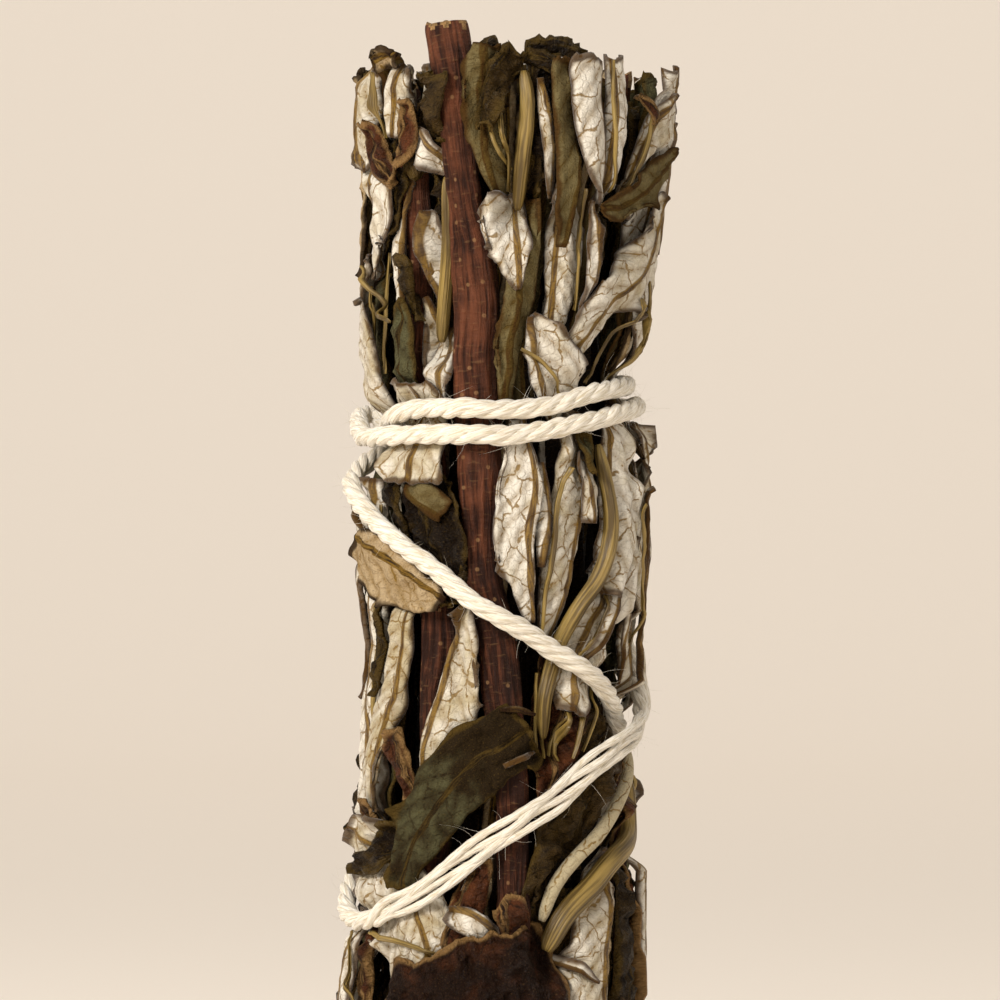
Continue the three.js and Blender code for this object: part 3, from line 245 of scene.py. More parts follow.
    ("leaf_brown_big", "brown", 9.4, [[-3.7, 21.2], [-2.5, 15], [-1.9, 7], [-2.2, 0]],
        dict(sunk=-0.5, fold=1, bend=8, start=0.8, peak=0.3, end=0.9, wave=0.3, step=0.3, tone=0.54, rib=2)),
]

# Sprigs closing the back: angle of each stem, and the heights between which its leaves run.
SPRIG_ANGLES = [124, 180, 236]
SPRIG_HEIGHTS = [(0, 35), (0, 46), (33, 68), (43, 81), (66, 99), (79, 99)]
SPRIG_HALF, SPRIG_SPREAD = 4.9, 15

# The twine's route: angle, height, how far its middle lies over the girth. Each full turn adds 360.
TWINE_ROUTE = [
    (212, 71, 0.5), (232, 70, 0.3), (252, 68.2, -0.9), (270, 66.9, -1.9), (284, 66.8, -2.1),
    (299, 68, -0.9), (315, 68.8, 0.2), (327, 69.2, 0.3), (350, 69.2, 0.3), (363, 69.1, 0.3),
    (382, 69.5, 0.3), (393, 70.2, 0.2), (406, 70.7, 0), (423, 71.1, -0.4), (450, 71.4, -0.7),
    (490, 71.4, -0.5), (540, 70.6, 0), (590, 69.2, 0.3), (615, 68.3, 0.3), (630, 67.4, 0.3),
    (647, 66.7, 0.3), (675, 66.8, 0.3), (708, 66.9, 0.3), (723, 66.8, 0.3), (742, 67.4, 0.3),
    (753, 67.9, 0.3), (765, 68.3, 0.2), (781, 68.9, 0.1), (810, 69.5, 0), (850, 69.2, 0.1),
    (900, 68.2, 0.1), (945, 66.4, -0.4), (972, 64.4, 0.4), (990, 62.6, 1), (1004, 60.9, 0.8),
    (1020, 58.9, 0.4), (1035, 56.9, 0.3), (1049, 55.2, 0.3), (1068, 52, 0.3), (1078, 50.6, 0.3),
    (1091, 48.9, 0.3), (1101, 47.5, 0.3), (1113, 46.1, 0.3), (1124, 44.8, 0), (1140, 42.8, -1.1),
    (1153, 41.7, -1.9), (1170, 40.3, -2.1), (1200, 38, -1), (1260, 33, 0.2), (1310, 28.6, 0.3),
    (1335, 26.6, 0.4), (1348, 25, 0.5), (1360, 23.6, 0.5), (1372, 23, 0.4), (1385, 23.2, 0.3),
    (1395, 24.1, 0.3), (1407, 25.4, 0.3), (1417, 26.9, 0.3), (1426, 28.3, 0.3), (1444, 31.3, 0.3),
    (1453, 33, 0.3), (1462, 34.3, 0.3), (1471, 35.8, 0.3), (1483, 37.5, 0.3), (1498, 39.2, 0.3),
    (1515, 40.4, 0.3), (1527, 41.8, 0.3), (1536, 43.6, 0.3), (1548, 46.2, 0.3), (1570, 50.8, 0.3),
    (1600, 57.5, 0.3), (1630, 65, 0.3), (1652, 69.6, 0.5),
]
# The knot, its two tails as angle and height, and the stretch of the route where the plies have come apart,
# with the angle over which they do. Then the twine's radius, the length of one turn of its plies, the
# spacing of its rings, a tail's rows and how far its plies spread, and the plies themselves.
KNOT = {"angle": 212, "height": 70.3, "proud": 0.8, "across": 2.3, "up": 1.9, "out": 1.7}
TAILS = [
    [(212, 70.4), (206, 66), (203, 60), (205, 56)],
    [(212, 70.4), (219, 66.5), (224, 62.5), (223, 59.5)],
]
LOOSE_STRETCH = (1385, 1530)
LOOSE_FADE = 14
TWINE_RADIUS = 0.925
TWINE_LAY = 7.0
TWINE_STEP = 0.3
TAIL_ROWS, TAIL_SPLAY = 44, 0.7
PLIES, PLY_OFFSET, PLY_RADIUS, PLY_SIDES = 4, 0.44, 0.47, 12
# A loose fibre's longest length and its radius, and the box that the fibres stay in.
HAIR_LENGTH, HAIR_RADIUS = 2.6, 0.013
HAIR_POINTS, HAIR_SIDES = 6, 3
HAIR_BOX = ([-15.7, -15.6, 0.05], [15.7, 15.6, 104])

# Thickness of a blade, and how much higher each leaf or rib lies than what is under it.
BLADE = 0.3
PITCH = 0.62
RIB_PITCH = 0.4
# Room that a leaf keeps over a stem, and the least that a stack of leaves is pressed to.
LEAF_OVER_STEM, LEAST_STACK = 1.3, 0.2
# How many strips show over the back and sides, lie packed inside, fill the sides and stand on the cut top.
STRIPS = 64
INNER_STRIPS = 34
SIDE_FILLERS = 12
TOP_ENDS = 60
RIB_FORM = dict(fold=24, bend=56, curl=10, start=0.7, end=0.5, step=0.2, rib=0)

# What a leaf has unless its list entry says otherwise. rib is where the midrib lies, as a share of the half
# width, curl how far the margin rolls under in degrees, tone how far its colour goes towards the shade, and
# stain how much more it does at the start.
FORM = dict(sunk=0, fold=10, bend=16, tilt=0, start=0.4, end=0.35, peak=0.42, wave=0, rib=None, curl=95,
            step=0.27, tone=None, stain=0)

# The outline of a leaf: the power on the sine from its ends to its widest part, the depth (as a share of
# the width) and length of the waves of its margin, the depth and length of the tears at its cut ends, how
# far from an end they reach, and the steps in which a blade's turn is added up from its midrib to its
# margin.
FULLNESS = 0.8
RAGGED = ((0.09, 3.1), (0.02, 1.1))
TORN = ((0.6, 2.3), (0.16, 0.6))
TORN_REACH = 1.6
BLADE_STEPS = 8
# The rolled rim's width: at most so many millimetres, and so large a share of the half width.
RIM, RIM_SHARE = 0.85, 0.4
# Side veins: the slope at which they leave the midrib, how much they curve, and how far those of the two
# sides are out of step, as a share of their spacing.
VEIN_SLOPE, VEIN_CURVE, VEIN_SHIFT = 1.15, 0.06, 0.55
# Farther from a vein or margin than any finish looks.
FAR = 9.0

# The stage, in metres: where the paper starts, where it begins to bend up and how widely, how high it ends
# and half its width, then the camera's place and the room's light.
PAPER_FRONT, BEND_START, BEND_RADIUS, PAPER_TOP, PAPER_HALF = -1.6, 1.0, 0.6, 2.4, 2.2
CAMERA_PLACE, SENSOR_WIDTH = (-0.00032, -0.7, 0.061), 36
WALL_POWER = 2.4
ROOM_COLOUR, ROOM_STRENGTH = "#fdf6ee", 0.55

# Relief of each kind of leaf: the midrib's half width and height, how far the felt swells between the
# veins, and the height of broad folds, of fine wrinkles and of sharp creases.
RELIEF = {
    "pale": dict(rib=0.38, rise=0.34, swell=0.15, fold=0.24, wrinkle=0.03, crumple=0.04),
    "olive": dict(rib=0.45, rise=0.36, swell=0.05, fold=0.22, wrinkle=0.08, crumple=0.1),
    "green": dict(rib=0.16, rise=-0.07, swell=0.05, fold=0.16, wrinkle=0.09, crumple=0.3),
    "dark": dict(rib=0.2, rise=0.1, swell=0.05, fold=0.6, wrinkle=0.24, crumple=0.7),
    "brown": dict(rib=0.2, rise=0.08, swell=0.03, fold=0.22, wrinkle=0.18, crumple=0.4),
    "tan": dict(rib=0.25, rise=0.1, swell=0.08, fold=0.38, wrinkle=0.1, crumple=0.2),
    "stalk": dict(rib=0.0, rise=0.0, swell=0.0, fold=0.03, wrinkle=0.02, crumple=0.0),
}


def girth(z):
    return np.interp(z, *GIRTH)


def middle(z):
    return np.interp(z, *MIDDLE)


def place(angle, z, r):
    """Points from the angle round the bundle, the height and the distance from the middle line."""
    a = np.radians(angle)
    x = middle(z) + r * np.sin(a) - STICK_MIDDLE[0]
    return np.stack([x, -r * np.cos(a) - STICK_MIDDLE[1], z + 0 * x], -1)


def find(points):
    """The angle, height and distance from the middle line of points: place() turned round."""
    x = points[..., 0] + STICK_MIDDLE[0] - middle(points[..., 2])
    y = points[..., 1] + STICK_MIDDLE[1]
    return np.degrees(np.arctan2(x, -y)), points[..., 2], np.hypot(x, y)


def angle_of(x, z, r):
    """The angle at which something at distance r is seen at x from the front."""
    return np.degrees(np.arcsin(np.clip((x - middle(z)) / r, -1, 1)))


def unit(vectors):
    """The vectors, each brought to length one."""
    return vectors / np.maximum(np.linalg.norm(vectors, axis=-1, keepdims=True), 1e-9)


def noise(x, y, seed=0):
    """Smooth noise from -1 to 1: a random value at every whole x and y, joined by smooth steps."""
    x, y = np.broadcast_arrays(np.asarray(x, float), np.asarray(y, float))
    i, j = np.floor(x).astype(np.int64), np.floor(y).astype(np.int64)

    def value(a, b):
        h = (a * 374761393 + b * 668265263 + (seed + SEED) * 974634777) & 0xFFFFFFFF
        h = ((h ^ (h >> 13)) * 1274126177) & 0xFFFFFFFF
        return ((h ^ (h >> 16)) & 0xFFFF) / 32767.5 - 1

    tx, ty = x - i, y - j
    tx, ty = tx * tx * (3 - 2 * tx), ty * ty * (3 - 2 * ty)
    low = value(i, j) * (1 - tx) + value(i + 1, j) * tx
    high = value(i, j + 1) * (1 - tx) + value(i + 1, j + 1) * tx
    return low * (1 - ty) + high * ty


# Points between two entries of a list on its curve.
SPAN_STEPS = 24


def resample(points, number):
    """A Catmull-Rom curve through rows of angle, height and more, as rows evenly spaced along the surface,
    and its length. number is how many rows, or a function of the length."""
    p = np.asarray(points, float)
    p = np.concatenate([p[:1], p, p[-1:]])
    t = np.linspace(0, 1, SPAN_STEPS, endpoint=False)[:, None]
    spans = [
        (2 * b + (c - a) * t + (2 * a - 5 * b + 4 * c - d) * t**2 + (3 * b - a - 3 * c + d) * t**3) / 2
        for a, b, c, d in zip(p, p[1:], p[2:], p[3:])
    ]
    fine = np.concatenate(spans + [p[-1:]])
    steps = np.hypot(np.radians(np.diff(fine[:, 0])) * girth(fine[1:, 1]), np.diff(fine[:, 1]))
    run = np.concatenate([[0], np.cumsum(steps)])
    rows = number(run[-1]) if callable(number) else number
    goal = np.linspace(0, run[-1], rows)
    return np.stack([np.interp(goal, run, column) for column in fine.T], -1), run[-1]


# Maps of the bundle: a distance from the middle line for every cell of angle and height. CELL_STEP is the
# widest step between points that are put in a map, and FREE stands for nothing over a cell.
COLUMNS, ROWS, ROW_STEP = 240, 300, 0.35
CELL_STEP = 0.16
FREE = 99.0


def cells(angle, z):
    column = np.round(angle * COLUMNS / 360).astype(int) % COLUMNS
    return column, np.clip(np.round(z / ROW_STEP).astype(int), 0, ROWS - 1)


def sample(grid, angle, z):
    """The map's value between its cells, by straight lines."""
    a, h = angle * COLUMNS / 360, np.clip(z / ROW_STEP, 0, ROWS - 1.001)
    i, j = np.floor(a).astype(int), h.astype(int)
    ta, th = a - i, h - j
    i, k = i % COLUMNS, (i + 1) % COLUMNS
    low = grid[i, j] * (1 - ta) + grid[k, j] * ta
    high = grid[i, j + 1] * (1 - ta) + grid[k, j + 1] * ta
    return low * (1 - th) + high * th


def joined(grid, passes, join):
    """So many times over, each cell takes what join makes of it and the cells beside it, first those round
    the bundle and then those along it."""
    for _ in range(passes):
        grid = join([np.roll(grid, 1, 0), grid, np.roll(grid, -1, 0)])
        edged = np.pad(grid, ((0, 0), (1, 1)), mode="edge")
        grid = join([edged[:, 2:], edged[:, 1:-1], edged[:, :-2]])
    return grid


def widened(grid, spread):
    """Each cell takes the highest value within so many cells of it."""
    return joined(grid, spread, lambda three: np.maximum(three[1], np.maximum(three[0], three[2])))


def blurred(grid, passes):
    """Each cell takes the average of itself and the cells beside it, so that a step in the map has a
    slope."""
    return joined(grid, passes, lambda three: (three[0] + three[1] + three[2]) / 3)


def refined(points, step):
    """A grid of points with others between them on straight lines, so that none of the maps' cells is
    missed."""
    times = int(np.ceil(step / CELL_STEP))
    for axis in (0, 1):
        n = points.shape[axis]
        at = np.arange(times * (n - 1) + 1) / times
        i = np.minimum(at.astype(int), n - 2)
        t = (at - i).reshape((-1, 1, 1) if axis == 0 else (1, -1, 1))
        points = np.take(points, i, axis) * (1 - t) + np.take(points, i + 1, axis) * t
    return points


def shifted(field, axis, steps):
    """The field moved along an axis by each number of cells given, its edge values going on outwards."""
    most = max(steps)
    edged = np.pad(field, [(most, most) if k == axis else (0, 0) for k in (0, 1)], mode="edge")
    return [np.take(edged, range(most + step, most + step + field.shape[axis]), axis) for step in steps]


def eased(field, reach_of=4, passes=2):
    """A field on a leaf's grid, first widened by its highest values, then averaged, so that it stays above
    them."""
    for axis in (0, 1):
        field = np.maximum.reduce(shifted(field, axis, range(-reach_of, reach_of + 1)))
    half = reach_of // passes
    for _ in range(passes):
        for axis in (0, 1):
            field = sum(shifted(field, axis, range(-half, half + 1))) / (2 * half + 1)
    return field


# Leaves


class Leaf:
    """A leaf on a grid of rows along it and columns across it. angle, z and r say where each point of its
    outer face lies; across and along are millimetres on the leaf itself."""

    def __init__(self, name, finish, half, path, form, order):
        self.name, self.finish, self.form, self.order = name, finish, {**FORM, **form}, order
        f = self.form
        if f["rib"] is None:
            f["rib"] = 0.6 * math.sin(2.4 * order) if half < 3 else 0.1 * math.sin(order)
        if f["tone"] is None:
            f["tone"] = 0.14 + 0.14 * math.sin(7.3 * order + 1) + 0.3 * (finish == "dark")
        step = f["step"]
        centre, self.length = resample(path, lambda total: max(9, round(total / step)))
        rows, columns = len(centre), max(7, 2 * round(half / step) + 1)
        v = np.linspace(0, 1, rows)[:, None]
        u = np.linspace(-1, 1, columns)[None, :]
        seed = 17 * order
        rising = np.where(v < f["peak"], v / f["peak"], (1 - v) / (1 - f["peak"]))
        least = np.where(v < f["peak"], f["start"], f["end"])
        share = least + (1 - least) * np.sin(np.pi / 2 * np.clip(rising, 0, 1)) ** FULLNESS
        (deep, long), (fine, short) = RAGGED
        ragged = 1 + deep * noise(v * self.length / long, u * 0 + np.sign(u) * 3, seed)
        ragged = ragged + fine * noise(v * self.length / short, np.sign(u) * 5, seed + 1)
        width = half * share * ragged
        k = (np.arange(BLADE_STEPS) + 0.5)[:, None, None] / BLADE_STEPS
        slope = np.radians(-f["fold"] - f["bend"] * np.abs(u)[None] * k)
        across = np.sign(u) * (np.cos(slope) * np.abs(u) * width / BLADE_STEPS).sum(0)
        rise = (np.sin(slope) * np.abs(u) * width / BLADE_STEPS).sum(0)
        rise = rise + math.tan(math.radians(f["tilt"])) * across
        (deep, long), (fine, short) = TORN
        tear = deep * noise(u * width / long, u * 0, seed + 2)
        tear = tear + fine * noise(u * width / short, u * 0, seed + 3)
        ends = np.clip(1 - v * self.length / TORN_REACH, 0, 1) * (f["start"] > 0.5)
        ends = ends - np.clip(1 - (1 - v) * self.length / TORN_REACH, 0, 1) * (f["end"] > 0.5)
        a0, z0 = centre[:, :1], centre[:, 1:2]
        r0 = girth(z0) - f["sunk"]
        ds, dz = np.radians(np.gradient(centre[:, 0]))[:, None] * r0, np.gradient(centre[:, 1])[:, None]
        run = np.hypot(ds, dz)
        shift = tear * ends
        self.angle = a0 - np.degrees((across * dz - shift * ds) / run / r0)
        self.z = z0 + (across * ds + shift * dz) / run
        self.z = np.clip(self.z, 0.25, TOP - 0.3)
        self.u, self.v, self.width = u, v, width
        self.across, self.along = u * width, v * self.length + 0 * u
        waves = f["wave"] * u * u * np.sin(self.along * 1.6 + 5 * u + order)
        self.r = r0 + rise + waves

    def lay(self, reach, pitch):
        """Lifts the leaf over what lies under it. The lift is eased, because a dry blade bridges small
        hollows."""
        need = sample(widened(reach, 1), self.angle, self.z) + pitch - self.r
        self.r = self.r + eased(np.maximum(need, 0))
        fine = refined(np.stack([self.angle, self.z, self.r], -1), self.form["step"])
        np.maximum.at(reach, cells(fine[..., 0], fine[..., 1]), fine[..., 2])

    def press(self, whole, stems):
        """Presses the leaf in, in proportion to its depth, until the stack it is in fits the girth."""
        over = sample(stems, self.angle, self.z)
        base = np.where(self.r > over, over, CORE_RADIUS)
        stack = np.maximum(base + 0.1, sample(whole, self.angle, self.z))
        least = np.where(over > STEM_MARK, over + LEAF_OVER_STEM, 0)
        room = np.maximum(girth(self.z) + BULGE, least)
        share = np.maximum(LEAST_STACK, room - base) / (stack - base)
        pressed = base + (self.r - base) * np.minimum(share, 1)
        self.r = np.where((self.r > base) & (room < stack), pressed, self.r)

    def relief(self):
        """Height over the blade and distance from the nearest side vein: a half-round midrib, side veins
        that leave it at an angle and curve along the margin, felt that swells between them, broad folds and
        fine wrinkles."""
        shape, f, seed = RELIEF[self.finish], self.form, 17 * self.order + 5
        a, s = self.across, self.along
        warp = 0.22 * noise(s / 2.5, a / 2.5, seed)
        from_rib = a + warp - f["rib"] * self.width
        taper = 1 - 0.55 * self.v
        radius = max(shape["rib"], 1e-3) * taper
        ridge = np.sqrt(np.clip(1 - (from_rib / radius) ** 2, 0, 1)) if shape["rib"] else 0 * a
        away = np.abs(from_rib)
        spacing = 2.3 + 0.5 * math.sin(self.order)
        curved = s - away * VEIN_SLOPE - VEIN_CURVE * away**2
        phase = (curved + (from_rib > 0) * VEIN_SHIFT * spacing) / spacing
        phase = phase + 0.16 * noise(s / 1.7, a / 1.3, seed + 1)
        apart = np.abs(phase - np.round(phase)) * spacing * 0.62
        swell = (1 - np.exp(-((apart / 0.5) ** 2))) * (1 - np.exp(-((away / 0.75) ** 2)))
        folds = noise(a / 1.3, s / 7.5, seed + 2) + 0.35 * noise(a / 0.8, s / 2.2, seed + 3)
        fine = noise(a / 0.36, s / 0.55, seed + 4)
        bends = noise(a / 1.5 + 0.4 * folds, s / 1.9, seed + 6) + 0.4 * noise(a / 0.7, s / 0.8, seed + 7)
        creases = 1 - 2 * np.abs(bends)
        height = shape["rise"] * ridge * taper + shape["swell"] * swell + shape["fold"] * folds
        height = height + shape["wrinkle"] * fine + shape["crumple"] * creases
        return height, apart + FAR * (shape["swell"] == 0)

    def dress(self, ceiling, thickness):
        """The finished outer and inner faces, in millimetres. The margin rolls under on an arc. The leaf is
        held under the ceiling, and then lowers it for the leaves inside it."""
        points = place(self.angle, self.z, self.r)
        normal, side = frames_of(points)
        height, self.vein_gap = self.relief()
        f = self.form
        rim = np.minimum(RIM, RIM_SHARE * self.width)
        e = np.clip((np.abs(self.u) * self.width - self.width + rim) / rim, 0, 1)
        wander = 0.75 + 0.45 * noise(self.along / 3.0, np.sign(self.u) * 9, 17 * self.order + 9)
        most = math.radians(max(f["curl"], 1)) * np.clip(wander, 0.15, 1.2)
        arc = rim / most
        inward = arc * (1 - np.cos(most * e))
        slide = (arc * np.sin(most * e) - e * rim) * np.sign(self.u)
        points = points + side * slide[..., None] - normal * inward[..., None]
        normal, _ = frames_of(points)
        ease = 1 - 0.8 * e
        outer = points + normal * (height * ease)[..., None]
        angle, z, r = find(outer)
        dip = np.maximum(r - sample(ceiling, angle, z) + 0.04, 0)
        z = np.clip(z, 0.1, TOP)
        r = r - np.maximum(dip, eased(dip, 2, 1))
        r = np.minimum(r, girth(z) + BULGE + STANDING_PROUD)
        outer = place(angle, z, r)
        inner = outer - normal * thickness
        inner[..., 2] = np.clip(inner[..., 2], 0.05, TOP)
        for face in (outer, inner):
            face[..., 0] = np.clip(face[..., 0], -WIDEST, WIDEST)
            angle, z, r = find(refined(face, f["step"]))
            np.minimum.at(ceiling, cells(angle, z), r - 0.02)
        return outer, inner


def frames_of(points):
    """Unit normals, facing away from the middle line, and unit directions across, on a grid of points."""
    down, over = np.gradient(points, axis=0), np.gradient(points, axis=1)
    normal = unit(np.cross(over, down))
    out = points.copy()
    out[..., 2] = 0
    flip = np.sign((normal * out).sum(-1, keepdims=True).mean()) or 1
    return normal * flip, unit(over)


def sprig_paths(angle, k):
    """A sprig's stem rows and its leaves' paths: the stem sways round its angle, and each leaf leaves it
    and swings out to one side on a sine."""
    def sway(z):
        return angle + 4 * math.sin(z / 23 + 1.9 * k)

    radius = 1.8 if k == 1 else 1.1
    stem = [(sway(z), z, girth(z) - 1.7 - radius, radius) for z in (100.5 + math.sin(2.3 * k), 70, 35, 0)]
    leaves = []
    for i, (low, high) in enumerate(SPRIG_HEIGHTS):
        shift = 2 * math.sin(3 * i + 2 * k)
        start = low + shift if low else 0
        end = high + shift if high < 99 else high + math.sin(5 * i + k)
        side = 1 if (i + k) % 2 else -1
        path = []
        for t in (0, 0.3, 0.65, 1):
            z = start + (end - start) * t
            swing = 0.15 + math.sin(2.2 * t + 0.3 * (not low))
            path.append((sway(z) + side * SPRIG_SPREAD * swing, z))
        form = dict(sunk=0.7, fold=12, wave=0.3, step=0.5)
        form["start"], form["end"] = (0.2 if low else 0.7), (0.2 if high < 99 else 0.75)
        leaves.append((SPRIG_HALF + 0.4 * math.sin(7 * i + 3 * k), path, form))
    return stem, leaves


# Laying the bundle


def rod_marks(rows, sides=5):
    """Angle, height and distance of points over the outer half of a rod given as rows of angle, height, r,
    radius."""
    k = np.linspace(-1, 1, 2 * sides + 1)[None, :]
    angle, z, r, radius = (rows[:, i, None] for i in range(4))
    return angle + np.degrees(k * radius / r), z + 0 * k, r + radius * np.sqrt(1 - k * k)


def twine_rows(reach):
    """The twine's middle line, angle, height and r at every millimetre, pulled tight over the stems and its
    own earlier turns: a point is at least as far out as the girth, the stems and the turns under it need,
    and otherwise lies between its neighbours."""
    line, _ = resample(TWINE_ROUTE, lambda total: round(total) + 1)
    angle, z = line[:, 0], line[:, 1]
    over = sample(reach, angle, z)
    on_stem = np.where(over > STEM_MARK, over + TWINE_RADIUS + 0.2, 0)
    rest = np.maximum(girth(z) + line[:, 2], on_stem)
    touch = 2 * TWINE_RADIUS + 0.25
    turns = (angle[:, None] - angle[None]) / 360
    mean_radius, nearest, passes, sag = 13, 8, 160, 0.03
    apart = np.hypot(np.radians((turns - np.round(turns)) * 360) * mean_radius, z[:, None] - z[None])
    behind = np.arange(len(z))[:, None] - np.arange(len(z))[None] > nearest
    later, earlier = np.nonzero((apart < touch) & behind)
    height = np.sqrt(touch**2 - apart[later, earlier] ** 2)
    r = rest.copy()
    for _ in range(passes):
        need = rest.copy()
        np.maximum.at(need, later, r[earlier] + height)
        pulled = need.copy()
        pulled[1:-1] = (r[:-2] + r[2:]) / 2 - sag
        r = np.maximum(need, pulled)
    return np.stack([angle, z, r, np.full(len(z), TWINE_RADIUS)], -1)


def rod_ceiling(rods):
    """The distance from the middle line under which the leaves stay: the underside of every rod over
    them."""
    ceiling = np.full((COLUMNS, ROWS), FREE)
    for rows in rods:
        every, at = np.arange(0, len(rows) - 1, 0.25), np.arange(len(rows))
        fine = np.stack([np.interp(every, at, column) for column in rows.T], -1)
        angle, z, r, radius = (fine[:, i, None, None] for i in range(4))
        i, j = np.arange(-4, 5)[None, :, None], np.arange(-5, 6)[None, None, :]
        a, h = angle + i * 360 / COLUMNS, z + j * ROW_STEP
        apart = np.hypot(np.radians(i * 360 / COLUMNS) * r, h - z)
        under = r - np.sqrt(np.maximum(0, radius**2 - apart**2)) - 0.1
        free = r - radius * 0.3 + 1.1 * np.maximum(0, apart - radius)
        a, h, limit = np.broadcast_arrays(a, h, np.where(apart < radius, under, free))
        np.minimum.at(ceiling, cells(a, h), limit)
    return ceiling


def stem_rows(path):
    """A stem's rows of angle, height, r, radius from its list of x, height, depth under the girth,
    radius."""
    rows = np.asarray(path, float)
    r = girth(rows[:, 1]) - rows[:, 2]
    return np.stack([angle_of(rows[:, 0], rows[:, 1], r), rows[:, 1], r, rows[:, 3]], -1)


def side_strips():
    """Narrow strips and ribs over the back and sides, where the bundle shows the same kinds of leaf as the
    front."""
    pick = np.random.default_rng(SEED)
    strips = []
    for k in range(STRIPS):
        angle = 62 + 236 * ((k * 0.618) % 1)
        low = pick.uniform(-6, 92)
        length = pick.uniform(9, 30)
        z0, z1 = max(low, 0), min(low + length, 100.5)
        kind = pick.choice(["pale", "pale", "pale", "olive", "green", "tan", "dark", "stalk", "stalk"])
        lean = pick.uniform(-9, 9)
        bow = pick.uniform(-4, 4)
        half = pick.uniform(0.3, 0.45) if kind == "stalk" else pick.uniform(0.8, 2.3)
        path = [(angle - lean, z1), (angle + bow, (z0 + z1) / 2), (angle + lean, z0)]
        form = dict(sunk=pick.uniform(-0.1, 0.8), fold=pick.uniform(6, 18), step=0.45)
        form["start"], form["end"] = (0.8 if z1 > 99 else 0.25), (0.8 if z0 < 1 else 0.2)
        strips.append((kind, half, path, form))
    return strips


def packed_strips():
    """The strips packed inside, each from a cut end near the top to the base. They stand evenly round the
    bundle, and their angle, height and width vary by sines of their number. The side fillers stand in a row
    round each side."""
    strips = []
    for k in range(INNER_STRIPS):
        angle, top = 360 * k / INNER_STRIPS + 6 * math.sin(5 * k), 97.5 + 2.8 * math.sin(3.7 * k)
        path = [(angle, top), (angle + 8 * math.sin(2 * k), 50), (angle + 5 * math.sin(4 * k), 0.2)]
        form = dict(sunk=4.2 - 0.3 * (k % 3), step=1.4, start=0.9, end=0.9, rib=0, fold=8, wave=0.3)
        strips.append((("dark", "tan", "olive", "pale")[k % 4], 1.6 + 0.5 * math.sin(3 * k), path, form))
    # The side fillers are all dark: partly leaves, partly painted shade in the gaps at the sides.
    for k in range(SIDE_FILLERS):
        angle = (1, -1)[k % 2] * (96 + 3.6 * k)
        path = [(angle, 97), (angle + 4 * math.sin(3 * k), 50), (angle, 0.2)]
        form = dict(sunk=2 - 0.3 * (k % 3), step=1.2, start=0.9, end=0.9, rib=0, fold=6)
        strips.append(("dark", 1.5, path, form))
    return strips


@functools.lru_cache(maxsize=None)
def layout():
    """Lays the whole bundle once. Going outwards, each leaf is laid over the stems and leaves inside it.
    The stacks are pressed in to the girth. Going inwards, each leaf gets its relief and is kept under what
    lies over it."""
    stems = {name: (finish, stem_rows(path)) for name, finish, path in STEMS}
    stalks = {name: (finish, stem_rows(path)) for name, finish, path in STALKS}
    sprigs = [sprig_paths(angle, k) for k, angle in enumerate(SPRIG_ANGLES)]
    sprig_stems = [np.asarray(stem, float) for stem, _ in sprigs]
    reach = np.full((COLUMNS, ROWS), CORE_RADIUS)
    for rows in [rows for _, rows in stems.values()] + sprig_stems:
        a, z, r = rod_marks(resample(rows, 420)[0])
        np.maximum.at(reach, cells(a, z), r)
    bare = reach.copy()
    twine = twine_rows(widened(reach, 1))

    leaves = []

    def lay(name, finish, half, path, form, pitch=PITCH):
        if finish == "stalk":
            form, pitch = {**RIB_FORM, **form}, RIB_PITCH
        leaf = Leaf(name, finish, half, path, form, len(leaves))
        leaf.lay(reach, pitch)
        leaves.append(leaf)

    for finish, half, path, form in packed_strips():
        leaves.append(Leaf("inner_leaves", finish, half, path, form, len(leaves)))
    packed = len(leaves)
    for i in range(len(SPRIG_HEIGHTS)):
        for k, (_, blades) in enumerate(sprigs):
            half, path, form = blades[i]
            lay(f"sprig_back_{k + 1}", ("green", "pale", "green")[k], half, path, {**form, "rib": 0})
    for finish, half, path, form in side_strips():
        k = int(np.argmin([abs(angle - path[1][0]) for angle in SPRIG_ANGLES]))
        lay(f"sprig_back_{k + 1}", finish, half, path, form)
    for name, finish, half, path, form in LEAVES:
        lay(name, finish, half, [(angle_of(x, z, girth(z)), z) for x, z in path], form)

    whole, bare = blurred(reach, 3), blurred(widened(bare, 1), 3)
    for leaf in leaves[packed:]:
        leaf.press(whole, bare)
    over = [resample(rows, lambda total: round(total / 0.5))[0] for _, rows in stalks.values()]
    ceiling = rod_ceiling([twine] + over)
    surfaces = [(leaf, *leaf.dress(ceiling, BLADE)) for leaf in reversed(leaves)]
    return {"stems": stems, "stalks": stalks, "sprig_stems": sprig_stems, "twine": twine, "leaves": surfaces}


# Meshes


def grid_faces(rows, columns, closed=False):
    """Four corners for every cell of a grid of points numbered row by row, the last column joined to the
    first if the grid is closed."""
    across = np.arange(columns if closed else columns - 1)
    i, j = np.meshgrid(across, np.arange(rows - 1))
    k = (i + 1) % columns
    corners = [j * columns + i, j * columns + k, (j + 1) * columns + k, (j + 1) * columns + i]
    return np.stack(corners, -1).reshape(-1, 4)


